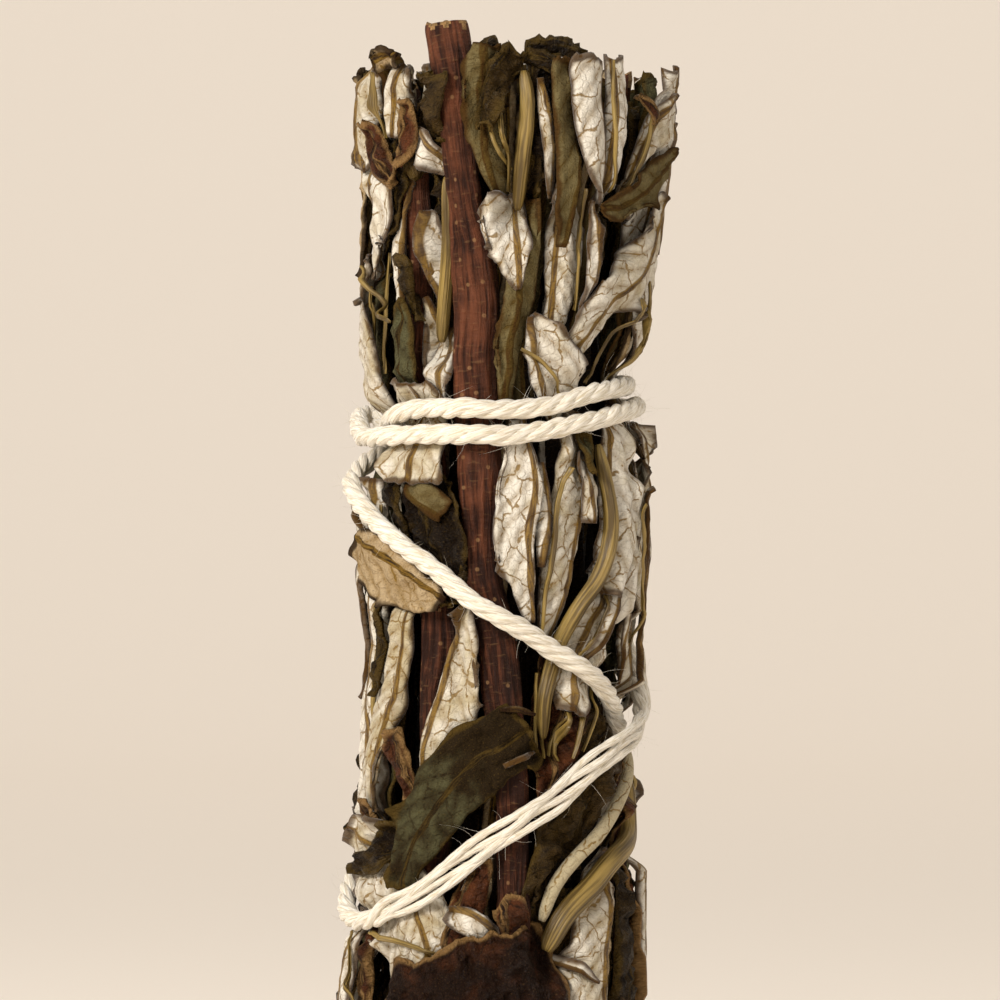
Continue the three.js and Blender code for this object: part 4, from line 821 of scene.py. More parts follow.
def sheet_patch(outer, inner, finish, uv, values):
    """A thin closed sheet: its outer and inner faces, and a narrow wall along its four edges."""
    rows, columns = outer.shape[:2]
    n = rows * columns
    index = np.arange(n).reshape(rows, columns)
    rim = np.concatenate([index[0], index[1:, -1], index[-1, -2::-1], index[-2:0:-1, 0]])
    after = np.roll(rim, -1)
    face = grid_faces(rows, columns)
    wall = np.stack([after, rim, rim + n, after + n], -1)
    quads = np.concatenate([face, face[:, ::-1] + n, wall])
    a, b, c = outer[0:-1, 0:-1], outer[0:-1, 1:], outer[1:, 0:-1]
    if (np.cross(b - a, c - a) * (outer - inner)[0:-1, 0:-1]).sum() < 0:
        quads = quads[:, ::-1]
    return {
        "points": np.concatenate([outer.reshape(-1, 3), inner.reshape(-1, 3)]),
        "quads": quads,
        "uv": np.concatenate([uv.reshape(-1, 2)] * 2),
        "finish": finish,
        "values": {key: np.tile(value.ravel(), 2) for key, value in values.items()},
    }


def blade_patch(leaf, outer, inner):
    """A laid leaf as a sheet, with what its finish needs: the distance from the midrib, from the nearest
    side vein and from the margin, and a tone of its own."""
    wander = 0.22 * noise(leaf.along / 2.5, leaf.across / 2.5, 17 * leaf.order + 5)
    ends = np.minimum(leaf.along, leaf.length - leaf.along)
    values = {
        "from_rib": np.abs(leaf.across + wander - leaf.form["rib"] * leaf.width),
        "from_vein": leaf.vein_gap,
        "to_edge": np.minimum((1 - np.abs(leaf.u)) * leaf.width, ends),
        "tone": leaf.form["tone"] + leaf.form["stain"] * np.clip(1.3 - 3 * leaf.v, 0, 1) + 0 * leaf.u,
    }
    uv = np.stack([leaf.across + 31.7 * leaf.order, leaf.along + 11.3 * leaf.order], -1)
    return sheet_patch(outer, inner, leaf.finish, uv, values)


# What a blade carries at each point for its finish: three distances in millimetres, and its own tone.
BLADE_VALUES = ("from_rib", "from_vein", "to_edge", "tone")


def build(name, patches, finishes, replaced=()):
    """One object from patches of points in millimetres with their faces, UV map in millimetres, values at
    each point and finish."""
    base = np.cumsum([0] + [len(p["points"]) for p in patches])
    points = np.concatenate([p["points"] for p in patches]) * MM
    quads = np.concatenate([p["quads"] + b for p, b in zip(patches, base)])
    uv = np.concatenate([p["uv"] for p in patches])
    mesh = bpy.data.meshes.new(name)
    mesh.vertices.add(len(points))
    mesh.vertices.foreach_set("co", points.astype(np.float32).ravel())
    triangle = quads[:, 3] == quads[:, 2]
    keep = np.ones(quads.shape, bool)
    keep[triangle, 3] = False
    corners = quads[keep]
    sizes = np.where(triangle, 3, 4)
    mesh.loops.add(len(corners))
    mesh.loops.foreach_set("vertex_index", corners.astype(np.int32))
    mesh.polygons.add(len(quads))
    mesh.polygons.foreach_set("loop_start", np.concatenate([[0], np.cumsum(sizes)[:-1]]).astype(np.int32))
    order = sorted({p["finish"] for p in patches})
    slots = np.concatenate([np.full(len(p["quads"]), order.index(p["finish"])) for p in patches])
    mesh.polygons.foreach_set("material_index", slots.astype(np.int32))
    mesh.update(calc_edges=True)
    mesh.shade_smooth()
    layer = mesh.uv_layers.new(name="mm")
    layer.data.foreach_set("uv", uv[corners].astype(np.float32).ravel())
    for key in BLADE_VALUES:
        values = np.concatenate([p["values"].get(key, np.full(len(p["points"]), FAR)) for p in patches])
        mesh.attributes.new(key, "FLOAT", "POINT").data.foreach_set("value", values.astype(np.float32))
    for finish in order:
        mesh.materials.append(finishes[finish])
    piece = bpy.data.objects.new(name, mesh)
    bpy.context.collection.objects.link(piece)
    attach(piece, BODY)
    if replaced:
        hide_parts(*replaced)
    return piece


def frame_along(middles):
    """For each point of a line, its distance along it, and the unit directions square to it: sideways on the
    bundle and away from the bundle's middle."""
    run = np.concatenate([[0], np.cumsum(np.linalg.norm(np.diff(middles, axis=0), axis=1))])
    ahead = unit(np.gradient(middles, axis=0))
    side = unit(np.cross(ahead, unit(middles * [1, 1, 0])))
    return run, side, np.cross(side, ahead)


def rod_patch(middles, radius, sides, finish, relief=None, closed_ends=(True, True), seed=0, level=False):
    """A rod: rings of points round a line of middles. Each ring stands square to the line, or level at its
    ends if asked, and relief(turn, along) in millimetres is added to its radius. closed_ends says which ends
    are closed to a point."""
    run, side, up = frame_along(middles)
    turn = 2 * np.pi * np.arange(sides)[None, :] / sides - np.pi / 2
    radius = np.broadcast_to(np.asarray(radius, float).reshape(-1, 1), (len(middles), 1))
    across = (turn + np.pi / 2) * radius.mean()
    along = run[:, None]
    r = radius + (relief(turn, along) if relief else 0)
    sideways, upwards = (r * np.cos(turn))[..., None], (r * np.sin(turn))[..., None]
    points = middles[:, None] + sideways * side[:, None] + upwards * up[:, None]
    if level:
        for row in (0, -1):
            points[row, :, 2] = middles[row, 2]
    rows = len(middles)
    quads = grid_faces(rows, sides, closed=True)
    uv = np.stack([across + 0 * along + 3.7 * seed, along + 0 * across + 5.1 * seed], -1).reshape(-1, 2)
    points = points.reshape(-1, 3)
    extra, caps = [], []
    for row, wanted in zip((0, rows - 1), closed_ends):
        if wanted:
            hub = len(points) + len(extra)
            ring = row * sides + np.arange(sides)
            after = np.roll(ring, -1)
            a, b = (after, ring) if row == 0 else (ring, after)
            caps.append(np.stack([a, b, np.full(sides, hub), np.full(sides, hub)], -1))
            extra.append(points[ring].mean(0))
    if extra:
        points = np.concatenate([points, extra])
        uv = np.concatenate([uv, uv[: len(extra)]])
        quads = np.concatenate([quads] + caps)
    ring0, ring1 = points[:sides], points[sides : 2 * sides]
    a, b, c = ring0[0], ring0[1], ring1[0]
    if np.dot(np.cross(b - a, c - a), a - ring0.mean(0)) < 0:
        quads = np.where((quads[:, 3] == quads[:, 2])[:, None], quads[:, [1, 0, 2, 2]], quads[:, ::-1])
    return {"points": points, "quads": quads, "uv": uv, "finish": finish, "values": {}}


# Pieces


def disc_patch(ring, wanted, finish, rough, seed):
    """A cut end: the ring drawn in towards its middle in steps, hollowed a little by the saw and the
    drying."""
    hub = ring.mean(0)
    rings = 7
    t = np.linspace(1, 0.02, rings)[:, None, None]
    points = hub + (ring - hub) * t
    sunk = rough * (1 + noise(points[..., 0] / 0.4, points[..., 1] / 0.4, seed)) * (1 - t[..., 0] ** 6)
    points[..., 2] -= wanted * sunk
    quads = grid_faces(rings, len(ring), closed=True)
    a, b, c = points[0, 0], points[0, 1], points[1, 0]
    if np.cross(b - a, c - a)[2] * wanted < 0:
        quads = quads[:, ::-1]
    flat = points.reshape(-1, 3)
    return {"points": flat, "quads": quads, "uv": flat[:, :2].copy(), "finish": finish, "values": {}}


def bared(patch, chosen, finish):
    """The chosen faces of a patch as a patch of their own in another finish, taken out of the patch."""
    used, places = np.unique(patch["quads"][chosen], return_inverse=True)
    faces = places.reshape(-1, 4)
    piece = {**patch, "points": patch["points"][used], "uv": patch["uv"][used], "quads": faces}
    piece["finish"] = finish
    patch["quads"] = patch["quads"][~chosen]
    return piece


def bark_relief(radius, depth, seed):
    """Lengthwise ridges that wander slowly, and finer wrinkles: noise over the circle of the cross-section,
    which also drifts along the stem."""
    def relief(turn, along):
        x, y = radius * np.cos(turn), radius * np.sin(turn)
        ridges = noise(x * 1.1 + along * 0.1, y * 1.1 + along * 0.06, seed)
        furrows = noise(x * 2.6 + along * 0.24, y * 2.6 - along * 0.2, seed + 1)
        rings = noise(along / 1.1 + 0.4 * ridges, turn * 0 + 3, seed + 2)
        return depth * (ridges + 0.5 * furrows + 0.25 * rings)
    return relief


def stem_patches(finish, path, seed, step=0.3):
    """A woody stem or stalk along its path. Woody stems are cut level and show their wood."""
    rows, _ = resample(path, lambda total: round(total / step))
    middles = place(rows[:, 0], rows[:, 1], rows[:, 2])
    woody = finish == "bark"
    sides = 48 if woody else 26
    mean = float(rows[:, 3].mean())
    relief = bark_relief(mean, 0.2 if woody else 0.05, seed)
    radius = rows[:, 3] * 0.97
    far = np.minimum(rows[0, 1] - rows[:, 1], (rows[:, 1] - rows[-1, 1]) + 9 * woody)
    radius = radius * (1 - (0.16 if woody else 0.55) * np.exp(-far / (0.35 if woody else 0.7)))
    stem = rod_patch(middles, radius, sides, finish, relief, (not woody, not woody), seed, level=woody)
    patches = [stem]
    if woody:
        turn = 2 * np.pi * np.arange(sides) / sides
        stem["points"][:sides, 2] -= 0.3 + 0.3 * noise(2.2 * np.cos(turn), 2.2 * np.sin(turn), seed)
        top, foot = stem["points"][:sides], stem["points"][-sides:]
        for ring, wanted in ((top, 1), (foot, -1)):
            patches.append(disc_patch(ring, wanted, "wood", 0.12, seed + 5))
        row, column = np.divmod(np.arange(len(stem["quads"])), sides)
        worn = 1 + 2.5 * noise(3 * np.cos(turn), 3 * np.sin(turn), seed + 8)
        patches.append(bared(stem, row < worn[column], "wood"))
    return patches


def plied(middles, loose, splay=0.0):
    """Twine along a line of points in millimetres: four plies, each a rod whose middle goes round the line
    once every lay. Where the twine has come loose the plies lie side by side. splay spreads them towards a
    cut end, in millimetres."""
    run, side, up = frame_along(middles)
    loose = np.asarray(loose, float).reshape(-1, 1) * np.ones((len(middles), 1))
    spread = splay * np.clip((run - run[-1] + 4) / 4, 0, 1)[:, None] ** 2
    patches = []
    for ply in range(PLIES):
        turn = 2 * np.pi * (run[:, None] / TWINE_LAY * (1 - 0.75 * loose.mean()) + ply / PLIES)
        wobble = 0.1 * noise(run / 1.7, run * 0 + ply, 40 + ply)[:, None]
        twisted = (PLY_OFFSET + wobble + spread) * (np.cos(turn) * side + np.sin(turn) * up)
        apart = (ply - (PLIES - 1) / 2) * 0.56 + 0.22 * np.sin(run[:, None] / 2.1 + 2 * ply)
        beside = apart * side + 0.2 * np.sin(run[:, None] / 1.6 + ply * 2.4) * up
        centre = middles + (1 - loose) * twisted + loose * beside
        swell = 0.035 * noise(run / 0.7, run * 0 + 7, 60 + ply)
        radius = PLY_RADIUS * (1 - 0.25 * loose[:, 0]) + swell
        patches.append(rod_patch(centre, radius, PLY_SIDES, "twine", seed=ply))
    return patches


def knot_line():
    """The knot's own line: a trefoil, which is an overhand knot with its ends joined, flattened against the
    bundle."""
    t = np.linspace(0, 2 * np.pi, 90)
    x, y, z = np.sin(t) + 2 * np.sin(2 * t), np.cos(t) - 2 * np.cos(2 * t), -np.sin(3 * t)
    out = girth(KNOT["height"]) + KNOT["proud"]
    across, up, r = x / 3 * (KNOT["across"] - 0.9), y / 3 * (KNOT["up"] - 0.9), z * (KNOT["out"] - 0.95)
    return place(KNOT["angle"] + np.degrees(across / out), KNOT["height"] + up, out + r * 0.8)


def hair_patch(patches, number, pick):
    """Loose fibres: thin three-sided rods that leave the plies at random points and curl away."""
    surface = np.concatenate([p["points"] for p in patches])
    at = surface[pick.integers(0, len(surface), number)]
    out = at * [1, 1, 0] / np.linalg.norm(at[:, :2], axis=1, keepdims=True)
    heading = unit(pick.normal(size=(number, 3)) + out * pick.uniform(-0.2, 1.1, (number, 1)))
    curl = pick.normal(size=(number, 3)) * 0.6
    curl -= heading * (curl * heading).sum(1, keepdims=True)
    length = HAIR_LENGTH * pick.uniform(0.25, 1, (number, 1, 1)) ** 1.5
    t = np.linspace(0, 1, HAIR_POINTS)[None, :, None]
    middles = at[:, None] + length * (t * heading[:, None] + t * t * curl[:, None])
    side = unit(np.cross(heading, [0.3, 0.5, 0.8]))
    up = np.cross(heading, side)
    turn = 2 * np.pi * np.arange(HAIR_SIDES) / HAIR_SIDES
    ring = np.cos(turn)[:, None] * side[:, None] + np.sin(turn)[:, None] * up[:, None]
    points = middles[:, :, None] + HAIR_RADIUS * (1 - 0.5 * t[..., None]) * ring[:, None]
    points = np.clip(points, *HAIR_BOX).reshape(-1, 3)
    one = grid_faces(HAIR_POINTS, HAIR_SIDES, closed=True)
    quads = (one[None] + HAIR_POINTS * HAIR_SIDES * np.arange(number)[:, None, None]).reshape(-1, 4)
    uv = np.tile([0.3, 0.5], (len(points), 1)) + np.arange(len(points))[:, None] * 0.01
    return {"points": points, "quads": quads, "uv": uv, "finish": "twine", "values": {}}


def core_patches():
    """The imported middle: a pleated column, the stem at its heart, and the cut leaf ends standing on its
    top."""
    def pleats(turn, along):
        return 0.7 * np.sin(15 * turn + along / 9) + 0.3 * np.sin(37 * turn)

    z = np.linspace(0.3, 96, 60)
    middles = np.stack([0.5 * np.sin(z / 30), 0 * z + 1e-3, z], -1)
    # Dark finish: partly the shrivelled leaves packed inside, partly painted shade deep in the gaps.
    column = rod_patch(middles, CORE_RADIUS - 0.9, 120, "dark", pleats, level=True)
    z = np.linspace(0, 100.4, 90)
    relief = bark_relief(2.1, 0.14, 77)
    middles, sides = np.stack([1.5 + 0 * z, 0.6 + 0 * z, z], -1), 40
    heart = rod_patch(middles, 2.1, sides, "bark", relief, (False, False), 7, True)
    patches = [column, heart]
    for ring, wanted in ((heart["points"][:sides], -1), (heart["points"][-sides:], 1)):
        patches.append(disc_patch(ring, wanted, "wood", 0.12, 88))
    pick = np.random.default_rng(SEED + 1)
    for k in range(TOP_ENDS):
        far, turn = 8.6 * math.sqrt(pick.uniform(0.09, 1)), pick.uniform(0, 2 * math.pi)
        x, y = far * math.cos(turn), far * math.sin(turn)
        facing = turn + math.pi / 2 + pick.uniform(-0.5, 0.5)
        half, top, bend = pick.uniform(0.9, 2), pick.uniform(96.5, 100.6), pick.uniform(-0.5, 0.5)
        u, v = np.meshgrid(np.linspace(-1, 1, 9), np.linspace(0, 1, 10))
        span = half * (0.75 + 0.25 * v)
        curve = bend * u * u * half + 0.12 * np.sin(9 * v + 3 * u + k)
        px = x + span * u * math.cos(facing) - curve * math.sin(facing)
        py = y + span * u * math.sin(facing) + curve * math.cos(facing)
        pz = 95.4 + (top - 95.4 + 0.3 * np.sin(5 * u + k)) * v
        face = np.stack([px, py, pz], -1)
        normal = np.array([-math.sin(facing), math.cos(facing), 0])
        finish = ("pale", "dark", "olive", "tan", "pale")[k % 5]
        values = {"from_rib": np.abs(u) * half, "from_vein": 0 * u + FAR, "to_edge": (1 - v) * 5}
        values["tone"] = 0 * u + 0.4
        uv = np.stack([u * half + 7 * k, v * 5], -1)
        patches.append(sheet_patch(face + 0.14 * normal, face - 0.14 * normal, finish, uv, values))
    return patches


# Finishes


def linear(code):
    """An sRGB hex colour as linear red, green and blue."""
    values = [int(code[i : i + 2], 16) / 255 for i in (1, 3, 5)]
    return tuple(v / 12.92 if v <= 0.04045 else ((v + 0.055) / 1.055) ** 2.4 for v in values)


def add(tree, kind, inputs=None, **settings):
    """Adds a node with its settings. Each input is given a value, or linked to another node: to its first
    output in use, or to the output given."""
    node = tree.nodes.new(kind)
    for key, value in settings.items():
        setattr(node, key, value)
    for key, value in (inputs or {}).items():
        if isinstance(value, bpy.types.Node):
            value = next(output for output in value.outputs if output.enabled)
        if isinstance(value, bpy.types.NodeSocket):
            tree.links.new(value, node.inputs[key])
        else:
            node.inputs[key].default_value = value
    return node


def begin(name):
    """A material, add() for its emptied tree, and a point in the piece's UV map, which is in millimetres."""
    material = bpy.data.materials.new(name)
    material.use_nodes = True
    material.node_tree.nodes.clear()
    node = functools.partial(add, material.node_tree)
    return material, node, node("ShaderNodeUVMap", uv_map="mm")


def close(node, material, colour, height, **surface):
    """Joins colour and relief to the surface. The relief is in millimetres, so the bump's distance is
    one."""
    bump = node("ShaderNodeBump", {"Height": height, "Distance": MM, "Strength": 1.0})
    shader = node("ShaderNodeBsdfPrincipled", {"Base Color": colour, "Normal": bump, **surface})
    node("ShaderNodeOutputMaterial", {"Surface": shader})
    return material


def leaf_material(name, ground, shade, vein, edge, net, speck, grain, cockle, **surface):
    """A dried leaf. ground and shade are the two colours of the felt or skin in broad patches, vein that of
    the midrib and side veins, edge that of the margin. net is the strength of the small veins, a web of
    cells about 2 mm wide and 3 mm long that fades in places. speck is the strength of dark flecks. grain
    and cockle are the relief in millimetres of the hairs and of the shrinkage wrinkles."""
    material, node, uv = begin(name)
    step = dict(interpolation_type="SMOOTHSTEP")
    flat = dict(noise_dimensions="2D")
    blend = dict(data_type="RGBA")
    from_rib, from_vein, to_edge, tone = (
        node("ShaderNodeAttribute", attribute_name=key, attribute_type="GEOMETRY").outputs["Fac"]
        for key in BLADE_VALUES)

    # Broad patches, and the leaf's own tone.
    broad = node("ShaderNodeTexNoise", {"Vector": uv, "Scale": 0.42, "Detail": 3.0}, **flat)
    patchy = node("ShaderNodeMath", {0: broad, 1: tone}, operation="ADD")
    patchy = node("ShaderNodeMapRange", {"Value": patchy, "From Min": 0.45, "From Max": 1.1}, **step)
    colour = node("ShaderNodeMix", {0: patchy, 6: ground, 7: shade}, **blend)

    # Side veins, with a stain beside them, the web of small veins between, and painted shade in the hollows
    # between the puffed cells.
    bent = node("ShaderNodeTexNoise", {"Vector": uv, "Scale": 0.9, "Detail": 3.0}, **flat)
    wander = node("ShaderNodeVectorMath", {0: bent.outputs["Color"], 1: (0.9, 0.9, 0.0), 2: uv},
                  operation="MULTIPLY_ADD")
    long_cells = node("ShaderNodeMapping", {"Vector": wander, "Scale": (0.5, 0.34, 1.0)})
    web = node("ShaderNodeTexVoronoi", {"Vector": long_cells, "Scale": 1.0}, voronoi_dimensions="2D",
               feature="DISTANCE_TO_EDGE")
    line = node("ShaderNodeMapRange", {"Value": web, "From Min": 0.015, "From Max": 0.05, "To Min": net,
                                       "To Max": 0.0}, **step)
    faded = node("ShaderNodeMapRange", {"Value": bent, "From Min": 0.34, "From Max": 0.48}, **step)
    line = node("ShaderNodeMath", {0: line, 1: faded}, operation="MULTIPLY")
    small = node("ShaderNodeTexVoronoi", {"Vector": wander, "Scale": 1.25}, voronoi_dimensions="2D",
                 feature="DISTANCE_TO_EDGE")
    hollow = node("ShaderNodeMapRange", {"Value": small, "From Min": 0.0, "From Max": 0.16}, **step)
    frayed = node("ShaderNodeMath", {0: bent, 1: 0.4, 2: from_vein}, operation="MULTIPLY_ADD")
    side = node("ShaderNodeMapRange", {"Value": frayed, "From Min": 0.2, "From Max": 0.32, "To Min": 0.9,
                                       "To Max": 0.0}, **step)
    stain = node("ShaderNodeMapRange", {"Value": frayed, "From Min": 0.2, "From Max": 0.75, "To Min": 0.42,
                                        "To Max": 0.0}, **step)
    veins = node("ShaderNodeMath", {0: line, 1: side}, operation="MAXIMUM")
    veins = node("ShaderNodeMath", {0: veins, 1: stain}, operation="MAXIMUM")
    colour = node("ShaderNodeMix", {0: veins, 6: colour, 7: vein}, **blend)
    # Painted shade: darker towards the small veins, in the hollows between the puffed cells.
    painted_hollow_shade = node("ShaderNodeMath", {0: hollow, 1: -0.16, 2: 0.16}, operation="MULTIPLY_ADD")
    colour = node("ShaderNodeMix", {0: painted_hollow_shade, 6: colour, 7: vein}, **blend)

    # The midrib, streaked lengthwise, and the worn margin.
    lengthwise = node("ShaderNodeMapping", {"Vector": uv, "Scale": (5.0, 0.5, 1.0)})
    streak = node("ShaderNodeTexNoise", {"Vector": lengthwise, "Scale": 1.0, "Detail": 3.0}, **flat)
    streaky = node("ShaderNodeMapRange", {"Value": streak, "From Min": 0.35, "From Max": 0.7}, **step)
    rib_colour = node("ShaderNodeMix", {0: streaky, 6: vein, 7: edge}, **blend)
    rib = node("ShaderNodeMapRange", {"Value": from_rib, "From Min": 0.24, "From Max": 0.36, "To Min": 0.95,
                                      "To Max": 0.0}, **step)
    colour = node("ShaderNodeMix", {0: rib, 6: colour, 7: rib_colour}, **blend)
    fine = node("ShaderNodeTexNoise", {"Vector": uv, "Scale": 7.0, "Detail": 4.0}, **flat)
    worn = node("ShaderNodeMath", {0: broad, 1: -0.9, 2: to_edge}, operation="MULTIPLY_ADD")
    margin = node("ShaderNodeMapRange", {"Value": worn, "From Min": -0.3, "From Max": 0.14, "To Min": 0.9,
                                         "To Max": 0.0}, **step)
    colour = node("ShaderNodeMix", {0: margin, 6: colour, 7: edge}, **blend)
    flecks = node("ShaderNodeMapRange", {"Value": fine, "From Min": 0.58, "From Max": 0.72, "To Max": speck},
                  **step)
    colour = node("ShaderNodeMix", {0: flecks, 6: colour, 7: edge}, **blend)

    # Relief: wrinkles, puffed cells between the small veins, hairs.
    wrinkle = node("ShaderNodeTexNoise", {"Vector": uv, "Scale": 1.5, "Detail": 5.0, "Roughness": 0.6},
                   **flat)
    height = node("ShaderNodeMath", {0: wrinkle, 1: cockle}, operation="MULTIPLY")
    for part, millimetres in ((hollow, 0.045), (veins, -0.05), (fine, 2 * grain), (streak, 0.03)):
        height = node("ShaderNodeMath", {0: part, 1: millimetres, 2: height}, operation="MULTIPLY_ADD")
    return close(node, material, colour, height, **surface)


def bark_material(name, light, dark, fleck):
    """Bark of a woody sage stem, dried: long shallow grooves about 0.5 mm apart, darker in their depths,
    partly its own colour and partly painted shade, cross wrinkles, and few pale breathing pores. The bark is
    darker below about 50 mm up, fading out by 68 mm."""
    material, node, uv = begin(name)
    step = dict(interpolation_type="SMOOTHSTEP")
    flat = dict(noise_dimensions="2D")
    long_cells = node("ShaderNodeMapping", {"Vector": uv, "Scale": (2.2, 0.16, 1.0)})
    grooves = node("ShaderNodeTexNoise", {"Vector": long_cells, "Scale": 1.0, "Detail": 6.0,
                                          "Roughness": 0.65, "Distortion": 0.4}, **flat)
    leaning = node("ShaderNodeMapping", {"Vector": uv, "Rotation": (0.0, 0.0, 0.7),
                                         "Scale": (0.8, 3.2, 1.0)})
    wrinkles = node("ShaderNodeTexNoise", {"Vector": leaning, "Scale": 1.0, "Detail": 4.0}, **flat)
    patches = node("ShaderNodeTexNoise", {"Vector": uv, "Scale": 0.35, "Detail": 3.0}, **flat)
    pores = node("ShaderNodeTexVoronoi", {"Vector": uv, "Scale": 0.34}, voronoi_dimensions="2D")
    # Deep in the grooves the colour goes dark: partly the bark's own colour, partly painted shade.
    share = node("ShaderNodeMath", {0: patches, 1: 0.5, 2: grooves}, operation="MULTIPLY_ADD")
    # Darker towards the bottom: fully below 50 mm up, fading out by 68 mm.
    place_on = node("ShaderNodeSeparateXYZ", {0: node("ShaderNodeTexCoord").outputs["Object"]})
    lower_darkening = node("ShaderNodeMapRange", {"Value": place_on.outputs["Z"], "From Min": 0.05,
                                          "From Max": 0.068, "To Min": -0.14, "To Max": 0.0}, **step)
    share = node("ShaderNodeMath", {0: share, 1: lower_darkening}, operation="ADD")
    share = node("ShaderNodeMapRange", {"Value": share, "From Min": 0.5, "From Max": 0.98}, **step)
    colour = node("ShaderNodeMix", {0: share, 6: dark, 7: light}, data_type="RGBA")
    worn = node("ShaderNodeMapRange", {"Value": wrinkles, "From Min": 0.6, "From Max": 0.75, "To Max": 0.16},
                **step)
    colour = node("ShaderNodeMix", {0: worn, 6: colour, 7: fleck}, data_type="RGBA")
    pore = node("ShaderNodeMapRange", {"Value": pores, "From Min": 0.04, "From Max": 0.08, "To Min": 0.45,
                                       "To Max": 0.0}, **step)
    colour = node("ShaderNodeMix", {0: pore, 6: colour, 7: fleck}, data_type="RGBA")
    height = node("ShaderNodeMath", {0: grooves, 1: 0.5}, operation="MULTIPLY")
    height = node("ShaderNodeMath", {0: wrinkles, 1: 0.14, 2: height}, operation="MULTIPLY_ADD")
    return close(node, material, colour, height, **{"Roughness": 0.55, "Specular IOR Level": 0.15})


def stalk_material(name, light, dark):
    """Dried green stalk: smooth skin with fine lengthwise ribs about 0.2 mm apart, a little glossy."""
    material, node, uv = begin(name)
    flat = dict(noise_dimensions="2D")
    lengthwise = node("ShaderNodeMapping", {"Vector": uv, "Scale": (4.5, 0.1, 1.0)})
    ribs = node("ShaderNodeTexNoise", {"Vector": lengthwise, "Scale": 1.0, "Detail": 4.0}, **flat)
    stretched = node("ShaderNodeMapping", {"Vector": uv, "Scale": (1.1, 0.12, 1.0)})
    stains = node("ShaderNodeTexNoise", {"Vector": stretched, "Scale": 1.0, "Detail": 5.0}, **flat)
    share = node("ShaderNodeMath", {0: ribs, 1: 0.7, 2: stains}, operation="MULTIPLY_ADD")
    share = node("ShaderNodeMapRange", {"Value": share, "From Min": 0.66, "From Max": 1.0},
                 interpolation_type="SMOOTHSTEP")
    colour = node("ShaderNodeMix", {0: share, 6: dark, 7: light}, data_type="RGBA")
    height = node("ShaderNodeMath", {0: ribs, 1: 0.22}, operation="MULTIPLY")
    return close(node, material, colour, height, **{"Roughness": 0.4, "Specular IOR Level": 0.4})


def wood_material(name, light, dark):
    """Cut wood end: tan, with broken fibres."""
    material, node, uv = begin(name)
    fibres = node("ShaderNodeTexNoise", {"Vector": uv, "Scale": 3.0, "Detail": 5.0}, noise_dimensions="2D")
    share = node("ShaderNodeMapRange", {"Value": fibres, "From Min": 0.35, "From Max": 0.65})
    colour = node("ShaderNodeMix", {0: share, 6: dark, 7: light}, data_type="RGBA")
    height = node("ShaderNodeMath", {0: fibres, 1: 0.4}, operation="MULTIPLY")
    return close(node, material, colour, height, **{"Roughness": 0.85})


def twine_material(name, light, dark):
    """Undyed cotton twine: fibres about 0.2 mm apart run along each ply, with painted shade between them,
    matt, with a soft edge from loose hairs."""
    material, node, uv = begin(name)
    along = node("ShaderNodeMapping", {"Vector": uv, "Scale": (6.0, 0.7, 1.0)})
    fibres = node("ShaderNodeTexNoise", {"Vector": along, "Scale": 1.0, "Detail": 4.0, "Distortion": 0.5},
                  noise_dimensions="2D")
    share = node("ShaderNodeMapRange", {"Value": fibres, "From Min": 0.3, "From Max": 0.6})
    # Where the fibres lie low the colour goes dark: painted shade between them.
    colour = node("ShaderNodeMix", {0: share, 6: dark, 7: light}, data_type="RGBA")
    height = node("ShaderNodeMath", {0: fibres, 1: 0.16}, operation="MULTIPLY")
    return close(node, material, colour, height,
                 **{"Roughness": 0.9, "Specular IOR Level": 0.15, "Sheen Weight": 0.35})


@functools.lru_cache(maxsize=1)
def finishes():
    """Every finish by name, in the colours that the scene's settings give."""
    chosen = bpy.context.scene.stick_colours
    c = {key: (*getattr(chosen, key), 1.0) for key in COLOURS}
    felted = {"Roughness": 0.95, "Specular IOR Level": 0.1}
    leathery = {"Roughness": 0.4, "Specular IOR Level": 0.15}
    return {
        # Felted hairs scatter the light, so the leaf is matt, with brown veins showing through.
        "pale": leaf_material(
            "White sage leaf, dried felt", c["felt"], c["felt_shade"], c["vein"], c["vein_dark"],
            net=0.85, speck=0.3, grain=0.03, cockle=0.07, **felted, **{"Sheen Weight": 0.15}),
        "olive": leaf_material(
            "Sage leaf, dried olive", c["olive"], c["olive_shade"], c["stalk_shade"], c["vein_dark"],
            net=0.35, speck=0.5, grain=0.03, cockle=0.5, **felted),
        # The upper side has fewer hairs, so its green-grey skin shows, and its wrinkles are finer.
        "green": leaf_material(
            "Sage leaf, dried grey-green", c["green"], c["green_shade"], c["green_shade"], c["stalk_shade"],
            net=0.6, speck=0.5, grain=0.05, cockle=0.9, **felted),
        # Skin without hairs, shrunk to leather: a dull shine on the wrinkles.
        "dark": leaf_material(
            "Sage leaf, shrivelled dark", c["dark"], c["dark_shade"], c["dark_shade"], c["stalk_shade"],
            net=0.5, speck=0.5, grain=0.08, cockle=1.3, **leathery),
        "brown": leaf_material(
            "Sage leaf, leathery brown", c["brown"], c["brown_shade"], c["brown_shade"], c["brown_edge"],
            net=0.7, speck=0.15, grain=0.06, cockle=1.1, **leathery),
        "tan": leaf_material(
            "Sage leaf, dried tan", c["tan"], c["tan_shade"], c["vein"], c["brown_shade"],
            net=0.5, speck=0.4, grain=0.04, cockle=0.4, **felted),
        "bark": bark_material("Sage bark, dried", c["bark"], c["bark_shade"], c["pore"]),
        "stalk": stalk_material("Sage stalk, dried", c["stalk"], c["stalk_shade"]),
        "wood": wood_material("Cut sage wood", c["wood"], c["tan_shade"]),
        "twine": twine_material("Cotton twine, undyed", c["twine"], c["twine_shade"]),
    }


